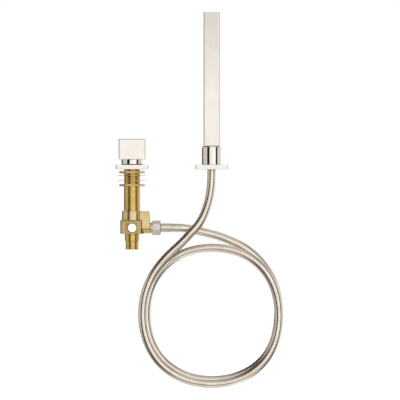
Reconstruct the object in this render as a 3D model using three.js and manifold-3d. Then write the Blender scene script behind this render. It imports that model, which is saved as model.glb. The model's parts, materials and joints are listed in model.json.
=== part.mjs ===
// Deck-mounted hand shower: a square wand in its holder, a square-handled
// volume-control valve beside it, and the ribbed metal hose that joins them.
// Millimetres, +Z up. The origin is on the valve's axis, in the plane of the
// deck, which is the underside of both flanges. +X points at the shower.

import * as THREE from 'three';
import { mergeVertices } from 'three/addons/utils/BufferGeometryUtils.js';
import Module from 'manifold-3d';

const wasm = await Module();
wasm.setup();

// ---------------------------------------------------------------- clearances
const restGap = 0.3; // between faces that touch when the set is put together
const turnGap = 0.4; // round a piece that turns or slides

// ------------------------------------------------------- driving dimensions
const valveToShower = 130.5;

const flangeSide = 53.5;
const flangeHeight = 7.2;
const flangePlate = 2.6;
const flangeEdge = 0.7;
const valveHollowDiameter = 48;
const holderHollowDiameter = 42;

const shankDiameter = 26.44; // 3/4 in pipe thread
const shankBore = 20;
const shankLength = 81.8;
const shankSpigotWall = 1.9;
const shankSpigotLength = 7.5;
const threadPitch = 1.814; // 14 threads to the inch
const threadDepth = 0.9;
const threadEndDrop = 28; // below the deck plane

const sleeveDiameter = 34.8;
const sleeveHeight = 8.5;
const sleeveWeb = 1.8;

const locknutCorners = 42.4;
const locknutThickness = 3.5;
const washerDiameter = 46;
const washerThickness = 1;
const upperNutDrop = 3.1; // nut's top face, below the deck plane
const upperWasherDrop = 9.7;
const deckGap = 6.9; // between the two washers
const lowerNutDrop = 24.3;

const handleSide = 44.2;
const handleHeight = 33.2;
const handleEdge = 1.2;
const handleBoreDepth = 23;
const setScrewDiameter = 5;
const setScrewLength = 9;
const setScrewSocket = 2.5;
const setScrewHeight = 12; // above the handle's underside

const spindleDiameter = 8;
const spindleFlat = 0.5;
const spindleFootDiameter = 15;
const spindleFootThickness = 1.5;
const tongueWidth = 3;
const tongueDepth = 1;
const guideHeight = 9;
const sealSection = 1.7;

const discDiameter = 17.8;
const discThickness = 2.2;
const discPortDiameter = 4.6;
const discPortReach = 5;
const discSealThickness = 1.2;
const cartridgeWall = 1.4;
const cartridgeWeb = 1.6;
const cartridgeWindow = 5;

const collarDiameter = 33;
const collarHeight = 14.9;
const collarWallGrip = 4; // brass left round the shank's spigot
const blockLeft = 19;
const blockRight = 16.3;
const blockDepth = 35.3;
const blockHeight = 22.7;
const blockEdge = 2.2;
const portFacingDiameter = 21.4;
const portFacingHeight = 0.6;
const portDiameter = 14.8; // tapping size of a 3/8 in pipe thread
const portChamfer = 1.9;
const portDrop = 13; // port and outlet axis, below the block's top
const lobeDrop = 0.7; // lobe's top, below the collar's top
const lobeTopReach = 27.6;
const lobeFootReach = 29.7;
const lobeFootDrop = 18.5;
const lobeLedgeDrop = 1.9; // lobe's flat side ends this far below the outlet axis
const lobeThickness = 22.2;
const lobePassageDiameter = 6.4;
const lobePassageReach = 20.8;

const outletBossDiameter = 18.6;
const outletNeckDiameter = 17.4;
const outletNeckLength = 3.8;
const outletThreadLength = 6.4;
const outletBore = 10;

const pipeThreadDiameter = 20.95; // 1/2 in pipe thread
const inletBossDiameter = 23.3;
const inletBossLength = 11.8;
const inletTailDiameter = 20.95;
const inletTailLength = 13.6;
const inletTailEdge = 0.6;
const inletBore = 13;
const inletSpigotDiameter = 18;
const inletSpigotLength = 9;

const hoseDiameter = 14;
const hoseBore = 8;
const ribDepth = 0.8;
const ribPitch = 8.3;
const ferruleDiameter = 14.6;
const ferruleFlangeThickness = 2;
const ferruleNeckDiameter = 12;
const valveFerruleLength = 16.5;
const hoseWasherThickness = 2;
const hoseWasherBore = 11;
const hoseNutFlats = 23.2;
const hoseNutSides = 8;
const hoseNutTwist = -7; // degrees round its own axis
const hoseNutLength = 13.8;
const hoseNutBack = 2;
const hoseNutEdge = 0.9;

const holderDiameter = 31.6;
const holderHeight = 30.5;
const holderShoulder = 2.6;
const holderBore = 24.8;
const holderTailWall = 1.3;
const holderTailReach = 0.6; // tail's end, above the deck plane
const holderLip = 1.6;
const holderLipThickness = 1.2;
const ringNutWall = 3.6;
const ringNutThickness = 3.3;
const linerHeight = 13.8;

const coneNutLength = 33.5;
const coneNutTaper = 17.5;
const coneNutTipDiameter = 18;
const coneNutThreadDepth = 14.5;
const wandSpigotLength = 9.9;
const wandFerruleTail = 19.2; // of the ferrule, below the cone nut's shoulder

const wandSide = 27;
const wandLength = 219.2;
const wandWall = 2.2;
const wandEdge = 1.2;
const wandPlugHeight = 10;
const checkValveDiameter = 13.6;
const checkValveLength = 14;
const checkValvePort = 6;
const flowTubeDiameter = 12;
const flowTubeWall = 1.5;
const sprayChamberHeight = 70;
const sprayChamberWall = 1.5;
const sprayWindowWidth = 17;
const sprayWindowHeight = 56;
const sprayWindowDrop = 12; // below the wand's top
const sprayPlateThickness = 1.8;
const nozzleMatThickness = 1.6;
const nozzleMatMargin = 1.6;
const nozzleDiameter = 2;
const nozzleProud = 0.5;
const nozzleColumns = 3;
const nozzleRows = 8;
const nozzleColumnPitch = 5;
const nozzleRowPitch = 6.4;

// The hose's two loops, seen from the front: round, slightly squared, and a
// little wider on the second turn, which lies in front of the first.
const loopCentreX = 131.9;
const loopCentreZ = -237.3;
const firstLoopRadius = 110.2;
const secondLoopRadius = 116.3;
const loopSquareness = 1.5;
const loopSteps = 24; // stations in one turn
const loopStartY = 9.5;
const loopAdvance = 16; // towards the front, for each turn
const loopTurns = 37 / 24; // from the right side to the upper left
const widenFrom = 0.97; // turns at which the second loop starts to widen
const widenUntil = 1.25;

// Hose stations from the valve to the loops, and from the loops to the wand.
const feedRoute = [
  [92, 1.2, -97.3], [99.5, 3.2, -99.2], [109, 6, -101.2], [118.7, 8.4, -103.6],
  [128.5, 10, -106], [136, 10.5, -108],
];
const feedToLoops = [
  [187.6, 10.5, -131.1], [197.5, 10.5, -138.3], [207.4, 10.5, -147], [217.5, 10.4, -159.6],
  [226, 10.3, -172.5], [233.6, 10.1, -188.5], [238.6, 9.9, -206.5], [240.9, 9.7, -222],
];
const loopsToRise = [
  [31, -14.7, -178], [38.6, -14.6, -165.4], [46, -14.4, -155.6], [54.2, -14.1, -146.2],
  [63.2, -13.8, -137.3], [72.4, -13.4, -128.6],
];
const riseRoute = [
  [107.2, -12.1, -93.4], [113.5, -10.8, -83.9], [118.3, -9.1, -74], [122, -7, -64.3],
  [125, -4.9, -54.5], [127.3, -3, -44.7], [129, -1.4, -34.8],
];
// The hose runs straight where one stretch ends and the next begins.
const feedJoint = { at: [158.1, 10.5, -116], along: [0.922, 0, -0.387] };
const riseJoint = { at: [90.5, -13, -110.8], along: [0.682, 0.01, 0.731] };

// ------------------------------------------------------------ derived places
const threadBore = shankDiameter + 2 * restGap;
const sleeveBottom = flangeHeight + restGap;
const sleeveTop = sleeveBottom + sleeveHeight;
const shankTop = sleeveTop - sleeveWeb - restGap;
const shankShoulder = shankTop - shankLength;
const handleBottom = sleeveTop + turnGap;
const spindleTop = handleBottom + handleBoreDepth - restGap;

const bodyTop = shankShoulder - restGap;
const blockTop = bodyTop - collarHeight;
const blockBottom = blockTop - blockHeight;
const outletHeight = blockTop - portDrop;
const spigotDiameter = shankBore + 2 * shankSpigotWall;
const spigotEnd = shankShoulder - shankSpigotLength;
const cartridgeTop = spigotEnd - restGap;
const cartridgeInside = discDiameter + 2 * turnGap;
const cartridgeDiameter = cartridgeInside + 2 * cartridgeWall;
const chamberDiameter = cartridgeDiameter + 2 * restGap;
const footTop = cartridgeTop - cartridgeWeb - restGap;
const movingDiscTop = footTop - spindleFootThickness - restGap;
const fixedDiscTop = movingDiscTop - discThickness - restGap;
const discSealTop = fixedDiscTop - discThickness - restGap;
const chamberFloor = discSealTop - discSealThickness - restGap;
const inletBossEnd = blockBottom - inletBossLength;

const outletNeckStart = lobeFootReach;
const outletThreadStart = outletNeckStart + outletNeckLength;
const outletEnd = outletThreadStart + outletThreadLength;
const hoseNutStart = outletNeckStart + outletNeckLength - turnGap;
const hoseWasherStart = outletEnd + restGap;
const valveFlangeStart = hoseWasherStart + hoseWasherThickness + restGap;
const hoseNutBackStart = valveFlangeStart + ferruleFlangeThickness + restGap;
const hoseNutEnd = Math.max(hoseNutStart + hoseNutLength, hoseNutBackStart + hoseNutBack);
const valveFerruleStart = hoseNutEnd + restGap;
const valveFerruleEnd = valveFerruleStart + valveFerruleLength;

const holderTop = flangeHeight + restGap + holderHeight;
const holderTailDiameter = holderBore + 2 * holderTailWall;
const wandBottom = holderTop + restGap;
const coneNutTop = wandBottom - restGap;
const coneNutBottom = coneNutTop - coneNutLength;
const coneNutDiameter = holderBore - 2 * turnGap;
const coneNutShoulder = coneNutTop - coneNutThreadDepth;
const wandFlangeBottom = coneNutShoulder + restGap;
const wandFerruleEnd = coneNutShoulder - wandFerruleTail;
const wandSpigotEnd = wandBottom - wandSpigotLength;
const coneWasherBottom = wandFlangeBottom + ferruleFlangeThickness + restGap;
const coneWasherThickness = wandSpigotEnd - restGap - coneWasherBottom;
const ferruleFlangeDiameter = pipeThreadDiameter - 2 * restGap;
const wandTop = wandBottom + wandLength;
const wandInside = wandSide - 2 * wandWall;
const sprayChamberTop = wandTop - wandWall - restGap;
const sprayChamberBottom = sprayChamberTop - sprayChamberHeight;
const sprayCentre = wandTop - sprayWindowDrop - sprayWindowHeight / 2;
const nozzleMatBack = wandInside / 2 - restGap - nozzleMatThickness;
const flowTubeBottom = wandBottom + wandPlugHeight + restGap;
const flowTubeTop = sprayChamberBottom - restGap;

// --------------------------------------------------------- making of solids
const weldDistance = 1e-3;
const overcut = 1; // how far a cutting tool runs past the face it opens

function flipIfInsideOut(corners, index) {
  const a = new THREE.Vector3();
  const b = new THREE.Vector3();
  const c = new THREE.Vector3();
  let volume = 0;
  for (let i = 0; i < index.length; i += 3) {
    a.fromBufferAttribute(corners, index[i]);
    b.fromBufferAttribute(corners, index[i + 1]);
    c.fromBufferAttribute(corners, index[i + 2]);
    volume += a.dot(b.cross(c));
  }
  return volume < 0 ? index.reverse() : index;
}

// One closed skin: shared corners, no slivers on an axis, faces pointing out.
function weld(geometry) {
  geometry.deleteAttribute('normal');
  geometry.deleteAttribute('uv');
  const merged = mergeVertices(geometry, weldDistance);
  const index = merged.index.array;
  const kept = [];
  for (let i = 0; i < index.length; i += 3) {
    const [a, b, c] = [index[i], index[i + 1], index[i + 2]];
    if (a !== b && b !== c && c !== a) kept.push(a, b, c);
  }
  merged.setIndex(flipIfInsideOut(merged.attributes.position, kept));
  return merged;
}

function solidOf(geometry) {
  const skin = weld(geometry);
  return new wasm.Manifold(new wasm.Mesh({
    numProp: 3,
    vertProperties: Float32Array.from(skin.attributes.position.array),
    triVerts: Uint32Array.from(skin.index.array),
  }));
}

function geometryOf(solid) {
  const mesh = solid.getMesh();
  const geometry = new THREE.BufferGeometry();
  geometry.setAttribute('position', new THREE.BufferAttribute(mesh.vertProperties, 3));
  geometry.setIndex(new THREE.BufferAttribute(mesh.triVerts, 1));
  return geometry;
}

function joined(...geometries) {
  return geometryOf(geometries.map(solidOf).reduce((whole, next) => whole.add(next)));
}

function cut(blank, ...tools) {
  return geometryOf(tools.map(solidOf).reduce((rest, tool) => rest.subtract(tool), solidOf(blank)));
}

// A turned piece round Z. The outline lists [radius, height]; one that starts
// off the axis closes on itself.
function turned(outline, sides = 24) {
  const points = outline.map(([radius, height]) => new THREE.Vector2(radius, height));
  if (outline[0][0] > 0) points.push(points[0].clone());
  return weld(new THREE.LatheGeometry(points, sides).rotateX(Math.PI / 2));
}

function rod(diameter, bottom, top, sides = 24) {
  const radius = diameter / 2;
  return turned([[0, bottom], [radius, bottom], [radius, top], [0, top]], sides);
}

function ring(outside, inside, bottom, top, sides = 24) {
  const [wide, narrow] = [outside / 2, inside / 2];
  return turned([[narrow, bottom], [wide, bottom], [wide, top], [narrow, top]], sides);
}

function box(width, depth, bottom, top) {
  return new THREE.BoxGeometry(width, depth, top - bottom).translate(0, 0, (bottom + top) / 2);
}

function squareOutline(side, edge) {
  const half = side / 2;
  const shape = new THREE.Shape();
  shape.moveTo(half, -half + edge);
  shape.lineTo(half, half - edge);
  shape.lineTo(half - edge, half);
  shape.lineTo(-half + edge, half);
  shape.lineTo(-half, half - edge);
  shape.lineTo(-half, -half + edge);
  shape.lineTo(-half + edge, -half);
  shape.lineTo(half - edge, -half);
  shape.closePath();
  return shape;
}

// A square bar along Z with all its edges broken.
function squareBar(side, edge, bottom, top) {
  const geometry = new THREE.ExtrudeGeometry(squareOutline(side, edge), {
    depth: top - bottom - 2 * edge,
    bevelThickness: edge,
    bevelSize: edge,
    bevelOffset: -edge,
    bevelSegments: 1,
  });
  return geometry.translate(0, 0, bottom + edge);
}

// ------------------------------------------------------------- valve's pieces
function handleBlock() {
  const top = handleBottom + handleHeight;
  const boreTop = handleBottom + handleBoreDepth;
  const screwHole = rod(setScrewDiameter + 2 * restGap, 0, handleSide, 12)
    .rotateX(-Math.PI / 2)
    .translate(0, 0, handleBottom + setScrewHeight);
  return cut(
    squareBar(handleSide, handleEdge, handleBottom, top),
    rod(spindleDiameter + 2 * restGap, handleBottom - overcut, boreTop),
    screwHole,
  );
}

function handleSetScrew() {
  const tip = spindleDiameter / 2 - spindleFlat + restGap;
  const screw = cut(
    rod(setScrewDiameter, tip, tip + setScrewLength, 12),
    rod(setScrewSocket, tip + setScrewLength - setScrewSocket, tip + setScrewLength + overcut, 6),
  );
  return screw.rotateX(-Math.PI / 2).translate(0, 0, handleBottom + setScrewHeight);
}

function trimSleeve() {
  const [outside, inside] = [sleeveDiameter / 2, threadBore / 2];
  const hole = spindleDiameter / 2 + turnGap;
  const edge = 0.5;
  return turned([
    [inside, sleeveBottom], [outside, sleeveBottom], [outside, sleeveTop - edge],
    [outside - edge, sleeveTop], [hole, sleeveTop], [hole, sleeveTop - sleeveWeb],
    [inside, sleeveTop - sleeveWeb],
  ], 40);
}

// A square flange on the deck, hollow underneath.
function escutcheon(holeDiameter, hollowDiameter) {
  return cut(
    squareBar(flangeSide, flangeEdge, -2 * flangeEdge, flangeHeight),
    box(flangeSide + overcut, flangeSide + overcut, -2 * flangeEdge - overcut, 0),
    rod(hollowDiameter, -overcut, flangeHeight - flangePlate, 32),
    rod(holeDiameter, 0, flangeHeight + overcut, 32),
  );
}

// Crests and roots of a pipe thread, from the top down.
function threadOutline(diameter, top, bottom) {
  const [crest, root] = [diameter / 2, diameter / 2 - threadDepth];
  const outline = [];
  for (let z = top; z - threadPitch > bottom; z -= threadPitch) {
    outline.push([crest, z], [root, z - threadPitch / 2]);
  }
  return outline;
}

function threadedShank() {
  const [outside, inside, spigot] = [shankDiameter / 2, shankBore / 2, spigotDiameter / 2];
  const plainEnd = -threadPitch / 2;
  return turned([
    [inside, shankTop], [outside - threadDepth, shankTop], [outside, shankTop - threadDepth],
    ...threadOutline(shankDiameter, plainEnd, -threadEndDrop),
    [outside, -threadEndDrop], [outside, shankShoulder], [spigot, shankShoulder],
    [spigot, spigotEnd], [inside, spigotEnd],
  ], 20);
}

function locknut(top) {
  const nut = rod(locknutCorners, top - locknutThickness, top, 6).rotateZ(Math.PI / 2);
  return cut(nut, rod(threadBore, top - locknutThickness - overcut, top + overcut));
}

function deckWasher(top) {
  return ring(washerDiameter, threadBore, top - washerThickness, top, 32);
}

function spindleGuide() {
  const [outside, inside] = [shankBore / 2 - restGap, spindleDiameter / 2 + turnGap];
  const bottom = shankTop - guideHeight;
  const groove = inside + sealSection + restGap - (turnGap - restGap);
  const middle = (shankTop + bottom) / 2;
  const half = sealSection / 2 + restGap;
  return turned([
    [inside, bottom], [outside, bottom], [outside, shankTop], [inside, shankTop],
    [inside, middle + half], [groove, middle + half], [groove, middle - half],
    [inside, middle - half],
  ], 20);
}

function spindleSeal() {
  const middle = shankTop - guideHeight / 2;
  const radius = spindleDiameter / 2 + restGap + sealSection / 2;
  return weld(new THREE.TorusGeometry(radius, sealSection / 2, 8, 20).translate(0, 0, middle));
}

function valveSpindle() {
  const radius = spindleDiameter / 2;
  const footBottom = footTop - spindleFootThickness;
  const shaft = turned([
    [0, footBottom], [spindleFootDiameter / 2, footBottom], [spindleFootDiameter / 2, footTop],
    [radius, footTop], [radius, spindleTop], [0, spindleTop],
  ], 20);
  const tongue = box(spindleFootDiameter - 4, tongueWidth, footBottom - tongueDepth, footTop);
  const flatTool = new THREE.BoxGeometry(spindleDiameter, spindleDiameter, handleBoreDepth)
    .translate(0, spindleDiameter - spindleFlat, spindleTop + overcut - handleBoreDepth / 2);
  return cut(joined(shaft, tongue), flatTool);
}

function discPorts(top, turn) {
  return [-1, 1].map((side) => rod(discPortDiameter, top - discThickness - overcut, top + overcut, 12)
    .translate(side * discPortReach, 0, 0)
    .rotateZ(turn));
}

function movingDisc() {
  const slot = box(
    spindleFootDiameter - 4 + 2 * restGap,
    tongueWidth + 2 * restGap,
    movingDiscTop - tongueDepth,
    movingDiscTop + overcut,
  );
  return cut(
    rod(discDiameter, movingDiscTop - discThickness, movingDiscTop, 20),
    slot,
    ...discPorts(movingDiscTop, Math.PI / 2),
  );
}

function fixedDisc() {
  return cut(
    rod(discDiameter, fixedDiscTop - discThickness, fixedDiscTop, 20),
    ...discPorts(fixedDiscTop, 0),
  );
}

function discSeal() {
  const inside = 2 * discPortReach + discPortDiameter;
  return ring(discDiameter, inside, discSealTop - discSealThickness, discSealTop, 20);
}

function cartridgeHousing() {
  const bottom = chamberFloor + restGap;
  const [outside, inside] = [cartridgeDiameter / 2, cartridgeInside / 2];
  const hole = spindleDiameter / 2 + turnGap;
  const cup = turned([
    [inside, bottom], [outside, bottom], [outside, cartridgeTop], [hole, cartridgeTop],
    [hole, cartridgeTop - cartridgeWeb], [inside, cartridgeTop - cartridgeWeb],
  ], 20);
  const windowTop = footTop - spindleFootThickness / 2;
  const window = box(cartridgeDiameter + overcut, cartridgeWindow, windowTop - cartridgeWindow, windowTop);
  return cut(cup, window);
}

// The lobe beside the collar carries the water down to the outlet.
function lobeBlank() {
  const [top, foot] = [bodyTop - lobeDrop, bodyTop - lobeFootDrop];
  const ledge = outletHeight - lobeLedgeDrop;
  const shape = new THREE.Shape();
  shape.moveTo(0, ledge);
  shape.lineTo(lobeFootReach, ledge);
  shape.lineTo(lobeFootReach, foot);
  shape.lineTo(lobeTopReach + 0.6, (top + foot) / 2);
  shape.lineTo(lobeTopReach, top);
  shape.lineTo(0, top);
  shape.closePath();
  return new THREE.ExtrudeGeometry(shape, { depth: lobeThickness, bevelEnabled: false })
    .rotateX(Math.PI / 2)
    .translate(0, lobeThickness / 2, 0);
}

function alongX(geometry) {
  return geometry.rotateY(Math.PI / 2).translate(0, 0, outletHeight);
}

function outletSpigot() {
  const [boss, neck, thread] = [outletBossDiameter, outletNeckDiameter, pipeThreadDiameter]
    .map((diameter) => diameter / 2);
  return alongX(turned([
    [0, 0], [boss, 0], [boss, outletNeckStart], [neck, outletNeckStart],
    [neck, outletThreadStart - threadDepth], [thread, outletThreadStart],
    [thread, outletEnd - threadDepth], [thread - threadDepth, outletEnd], [0, outletEnd],
  ]));
}

function alongY(geometry) {
  return geometry.rotateX(Math.PI / 2).translate(0, 0, outletHeight);
}

function portTool() {
  const [radius, half] = [portDiameter / 2, blockDepth / 2 + portFacingHeight];
  const mouth = radius + portChamfer;
  return alongY(turned([
    [0, -half - overcut], [mouth + overcut, -half - overcut], [radius, -half + portChamfer],
    [radius, half - portChamfer], [mouth + overcut, half + overcut], [0, half + overcut],
  ]));
}

function blockBlank() {
  const [left, right, half, edge] = [-blockLeft, blockRight, blockDepth / 2, blockEdge];
  const shape = new THREE.Shape();
  shape.moveTo(left, -half + edge);
  shape.lineTo(left + edge, -half);
  shape.lineTo(right - edge, -half);
  shape.lineTo(right, -half + edge);
  shape.lineTo(right, half - edge);
  shape.lineTo(right - edge, half);
  shape.lineTo(left + edge, half);
  shape.lineTo(left, half - edge);
  shape.closePath();
  return new THREE.ExtrudeGeometry(shape, { depth: blockHeight, bevelEnabled: false })
    .translate(0, 0, blockBottom);
}

function valveBody() {
  const facing = blockDepth / 2 + portFacingHeight;
  const blank = joined(
    rod(collarDiameter, blockTop - overcut, bodyTop, 32),
    blockBlank(),
    alongY(rod(portFacingDiameter, -facing, facing, 32)),
    rod(inletBossDiameter, inletBossEnd, blockBottom + overcut, 32),
    lobeBlank(),
    outletSpigot(),
  );
  const passageHeight = footTop - spindleFootThickness / 2 - cartridgeWindow / 2;
  const passage = lobePassageDiameter;
  const crossPassage = rod(passage, 0, lobePassageReach, 12)
    .rotateY(Math.PI / 2)
    .translate(0, 0, passageHeight);
  const downPassage = rod(passage, outletHeight, passageHeight, 12).translate(lobePassageReach, 0, 0);
  const outletPassage = alongX(rod(outletBore, lobePassageReach - passage / 2, outletEnd + overcut, 16));
  return cut(
    blank,
    rod(spigotDiameter + 2 * restGap, cartridgeTop, bodyTop + overcut),
    rod(chamberDiameter, chamberFloor, cartridgeTop + overcut),
    rod(inletBore, outletHeight, chamberFloor + overcut, 16),
    rod(inletBore, inletBossEnd - overcut, outletHeight, 16),
    rod(inletSpigotDiameter + 2 * restGap, inletBossEnd - overcut, inletBossEnd + inletSpigotLength),
    portTool(),
    crossPassage,
    downPassage,
    outletPassage,
  );
}

function inletNipple() {
  const [outside, inside, spigot] = [inletTailDiameter / 2, inletBore / 2, inletSpigotDiameter / 2];
  const spigotTop = inletBossEnd + inletSpigotLength - restGap;
  const top = inletBossEnd - restGap;
  const bottom = top - inletTailLength;
  return turned([
    [inside, spigotTop], [spigot, spigotTop], [spigot, top], [outside, top],
    [outside, bottom + inletTailEdge], [outside - inletTailEdge, bottom], [inside, bottom],
  ], 32);
}

// --------------------------------------------------- pieces at the hose's ends
function hoseNut() {
  const corners = hoseNutFlats / Math.cos(Math.PI / hoseNutSides);
  const [wide, narrow] = [corners / 2, corners / 2 - hoseNutEdge];
  const blank = turned([
    [0, hoseNutStart], [narrow, hoseNutStart], [wide, hoseNutStart + hoseNutEdge],
    [wide, hoseNutEnd - hoseNutEdge], [narrow, hoseNutEnd], [0, hoseNutEnd],
  ], hoseNutSides);
  blank.rotateZ(Math.PI / hoseNutSides + THREE.MathUtils.degToRad(hoseNutTwist));
  return alongX(cut(
    blank,
    rod(pipeThreadDiameter + 2 * restGap, hoseNutStart - overcut, hoseNutBackStart),
    rod(ferruleNeckDiameter + 2 * turnGap, hoseNutStart, hoseNutEnd + overcut),
  ));
}

function hoseWasher() {
  const end = hoseWasherStart + hoseWasherThickness;
  return alongX(ring(ferruleFlangeDiameter, hoseWasherBore, hoseWasherStart, end, 20));
}

function valveEndFerrule() {
  const [flange, neck] = [ferruleFlangeDiameter / 2, ferruleNeckDiameter / 2];
  const [barrel, inside] = [ferruleDiameter / 2, hoseBore / 2];
  const flangeEnd = valveFlangeStart + ferruleFlangeThickness;
  const edge = 0.6;
  return alongX(turned([
    [inside, valveFlangeStart], [flange, valveFlangeStart], [flange, flangeEnd],
    [neck, flangeEnd], [neck, valveFerruleStart], [barrel - edge, valveFerruleStart],
    [barrel, valveFerruleStart + edge], [barrel, valveFerruleEnd], [inside, valveFerruleEnd],
  ]));
}

function wandEndFerrule() {
  const [flange, barrel, inside] = [ferruleFlangeDiameter, ferruleDiameter, hoseBore]
    .map((diameter) => diameter / 2);
  const flangeTop = wandFlangeBottom + ferruleFlangeThickness;
  return turned([
    [inside, wandFerruleEnd], [barrel, wandFerruleEnd], [barrel, wandFlangeBottom],
    [flange, wandFlangeBottom], [flange, flangeTop], [inside, flangeTop],
  ]);
}

// ------------------------------------------------------------ the ribbed hose
const hoseSides = 8;
const boreEvery = 3; // ribs from one bore ring to the next

function along(joint, distance) {
  return joint.at.map((value, axis) => value + distance * joint.along[axis]);
}

function straightThrough(joint) {
  return [-20, -15, -10, -5, 0, 5, 10, 15, 20].map((distance) => along(joint, distance));
}

function loopStations() {
  const stations = [];
  for (let step = 0; step <= loopTurns * loopSteps; step += 1) {
    const turns = step / loopSteps;
    const angle = -2 * Math.PI * turns;
    const widening = THREE.MathUtils.smoothstep(turns, widenFrom, widenUntil);
    const radius = THREE.MathUtils.lerp(firstLoopRadius, secondLoopRadius, widening)
      - loopSquareness * Math.cos(4 * angle);
    stations.push([
      loopCentreX + radius * Math.cos(angle),
      loopStartY - loopAdvance * turns,
      loopCentreZ + radius * Math.sin(angle),
    ]);
  }
  return stations;
}

function hoseCentreline() {
  const start = valveFerruleEnd + restGap;
  const end = wandFerruleEnd - restGap;
  const stations = [
    ...[0, 5, 10, 15, 20].map((distance) => [start + distance, 0, outletHeight]),
    ...feedRoute,
    ...straightThrough(feedJoint),
    ...feedToLoops,
    ...loopStations(),
    ...loopsToRise,
    ...straightThrough(riseJoint),
    ...riseRoute,
    ...[20, 15, 10, 5, 0].map((distance) => [valveToShower, 0, end - distance]),
  ];
  const curve = new THREE.CatmullRomCurve3(
    stations.map((station) => new THREE.Vector3(...station)),
    false,
    'centripetal',
  );
  curve.arcLengthDivisions = 3000;
  return curve;
}

const hoseCurve = hoseCentreline();
const hoseLength = hoseCurve.getLength();

// How far along the hose a point of its route lies.
function distanceAlong(place) {
  const target = new THREE.Vector3(...place);
  const samples = 6000;
  let nearest = 0;
  let least = Infinity;
  for (let i = 0; i <= samples; i += 1) {
    const gap = hoseCurve.getPointAt(i / samples).distanceTo(target);
    if (gap < least) [least, nearest] = [gap, i / samples];
  }
  return nearest * hoseLength;
}

// Rings of corners that stay square to the centreline and don't twist.
function hoseRings(distances) {
  let side = new THREE.Vector3(0, 1, 0);
  return distances.map((distance) => {
    const centre = hoseCurve.getPointAt(distance / hoseLength);
    const tangent = hoseCurve.getTangentAt(distance / hoseLength);
    side = side.clone().addScaledVector(tangent, -side.dot(tangent)).normalize();
    return { centre, side, up: tangent.clone().cross(side) };
  });
}

function pushRing(corners, { centre, side, up }, radius) {
  for (let i = 0; i < hoseSides; i += 1) {
    const angle = (2 * Math.PI * i) / hoseSides;
    const corner = centre.clone()
      .addScaledVector(side, radius * Math.cos(angle))
      .addScaledVector(up, radius * Math.sin(angle));
    corners.push(corner.x, corner.y, corner.z);
  }
}

// One stretch of hose: ribs outside, a smooth bore inside, open ends.
function ribbedHose(from, to) {
  const ribs = Math.round((to - from) / ribPitch);
  const outer = [from];
  const radii = [hoseDiameter / 2];
  for (let half = 1; half < 2 * ribs; half += 1) {
    outer.push(from + ((to - from) * half) / (2 * ribs));
    radii.push(half % 2 ? hoseDiameter / 2 - ribDepth : hoseDiameter / 2);
  }
  outer.push(to);
  radii.push(hoseDiameter / 2);
  const borePlaces = outer.filter((_, i) => i % (2 * boreEvery) === 0 && i < outer.length - boreEvery);
  borePlaces.push(to);

  const corners = [];
  hoseRings(outer).forEach((place, i) => pushRing(corners, place, radii[i]));
  hoseRings(borePlaces).reverse().forEach((place) => pushRing(corners, place, hoseBore / 2));

  const rings = outer.length + borePlaces.length;
  const index = [];
  for (let r = 0; r < rings; r += 1) {
    const next = (r + 1) % rings;
    for (let i = 0; i < hoseSides; i += 1) {
      const j = (i + 1) % hoseSides;
      const [a, b] = [r * hoseSides + i, r * hoseSides + j];
      const [c, d] = [next * hoseSides + i, next * hoseSides + j];
      index.push(a, b, d, a, d, c);
    }
  }
  const geometry = new THREE.BufferGeometry();
  geometry.setAttribute('position', new THREE.Float32BufferAttribute(corners, 3));
  geometry.setIndex(flipIfInsideOut(geometry.attributes.position, index));
  return geometry;
}

// The least gap between two stretches of the hose that aren't neighbours.
function leastHoseGap() {
  const count = 600;
  const apart = 60;
  const points = hoseCurve.getSpacedPoints(count);
  const spacing = hoseLength / count;
  let least = Infinity;
  for (let i = 0; i <= count; i += 1) {
    for (let j = i + Math.ceil(apart / spacing); j <= count; j += 1) {
      least = Math.min(least, points[i].distanceTo(points[j]));
    }
  }
  return least - hoseDiameter;
}

// ------------------------------------------------------- shower side's pieces
function holderCollar() {
  const bottom = flangeHeight + restGap;
  const [outside, inside, tail] = [holderDiameter, holderBore, holderTailDiameter]
    .map((diameter) => diameter / 2);
  const lip = inside - holderLip;
  const shoulder = [];
  for (let step = 0; step <= 4; step += 1) {
    const angle = (step / 4) * (Math.PI / 2);
    shoulder.push([
      outside - holderShoulder * (1 - Math.cos(angle)),
      holderTop - holderShoulder * (1 - Math.sin(angle)),
    ]);
  }
  return turned([
    [lip, holderTailReach], [tail, holderTailReach], [tail, bottom], [outside, bottom],
    ...shoulder,
    [inside, holderTop], [inside, holderTailReach + holderLipThickness],
    [lip, holderTailReach + holderLipThickness],
  ], 36);
}

function holderRingNut() {
  const top = flangeHeight - flangePlate - restGap;
  const inside = holderTailDiameter + 2 * restGap;
  return ring(inside + 2 * ringNutWall, inside, top - ringNutThickness, top, 24);
}

function coneRadius(height) {
  const along01 = THREE.MathUtils.clamp((height - coneNutBottom) / coneNutTaper, 0, 1);
  return THREE.MathUtils.lerp(coneNutTipDiameter, coneNutDiameter, along01) / 2;
}

function holderLiner() {
  const bottom = holderTailReach + holderLipThickness + restGap;
  const top = bottom + linerHeight;
  const outside = holderBore / 2 - restGap;
  return turned([
    [coneRadius(bottom) + turnGap, bottom], [outside, bottom], [outside, top],
    [coneRadius(top) + turnGap, top],
    [coneRadius(coneNutBottom) + turnGap, coneNutBottom],
  ]);
}

function coneNut() {
  const [thread, tail] = [pipeThreadDiameter / 2 + restGap, ferruleDiameter / 2 + turnGap];
  return turned([
    [tail, coneNutBottom], [coneRadius(coneNutBottom), coneNutBottom],
    [coneRadius(coneNutTop), coneNutBottom + coneNutTaper], [coneRadius(coneNutTop), coneNutTop],
    [thread, coneNutTop], [thread, coneNutShoulder], [tail, coneNutShoulder],
  ]);
}

function coneNutWasher() {
  const top = coneWasherBottom + coneWasherThickness;
  return ring(ferruleFlangeDiameter, hoseWasherBore, coneWasherBottom, top, 20);
}

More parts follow.
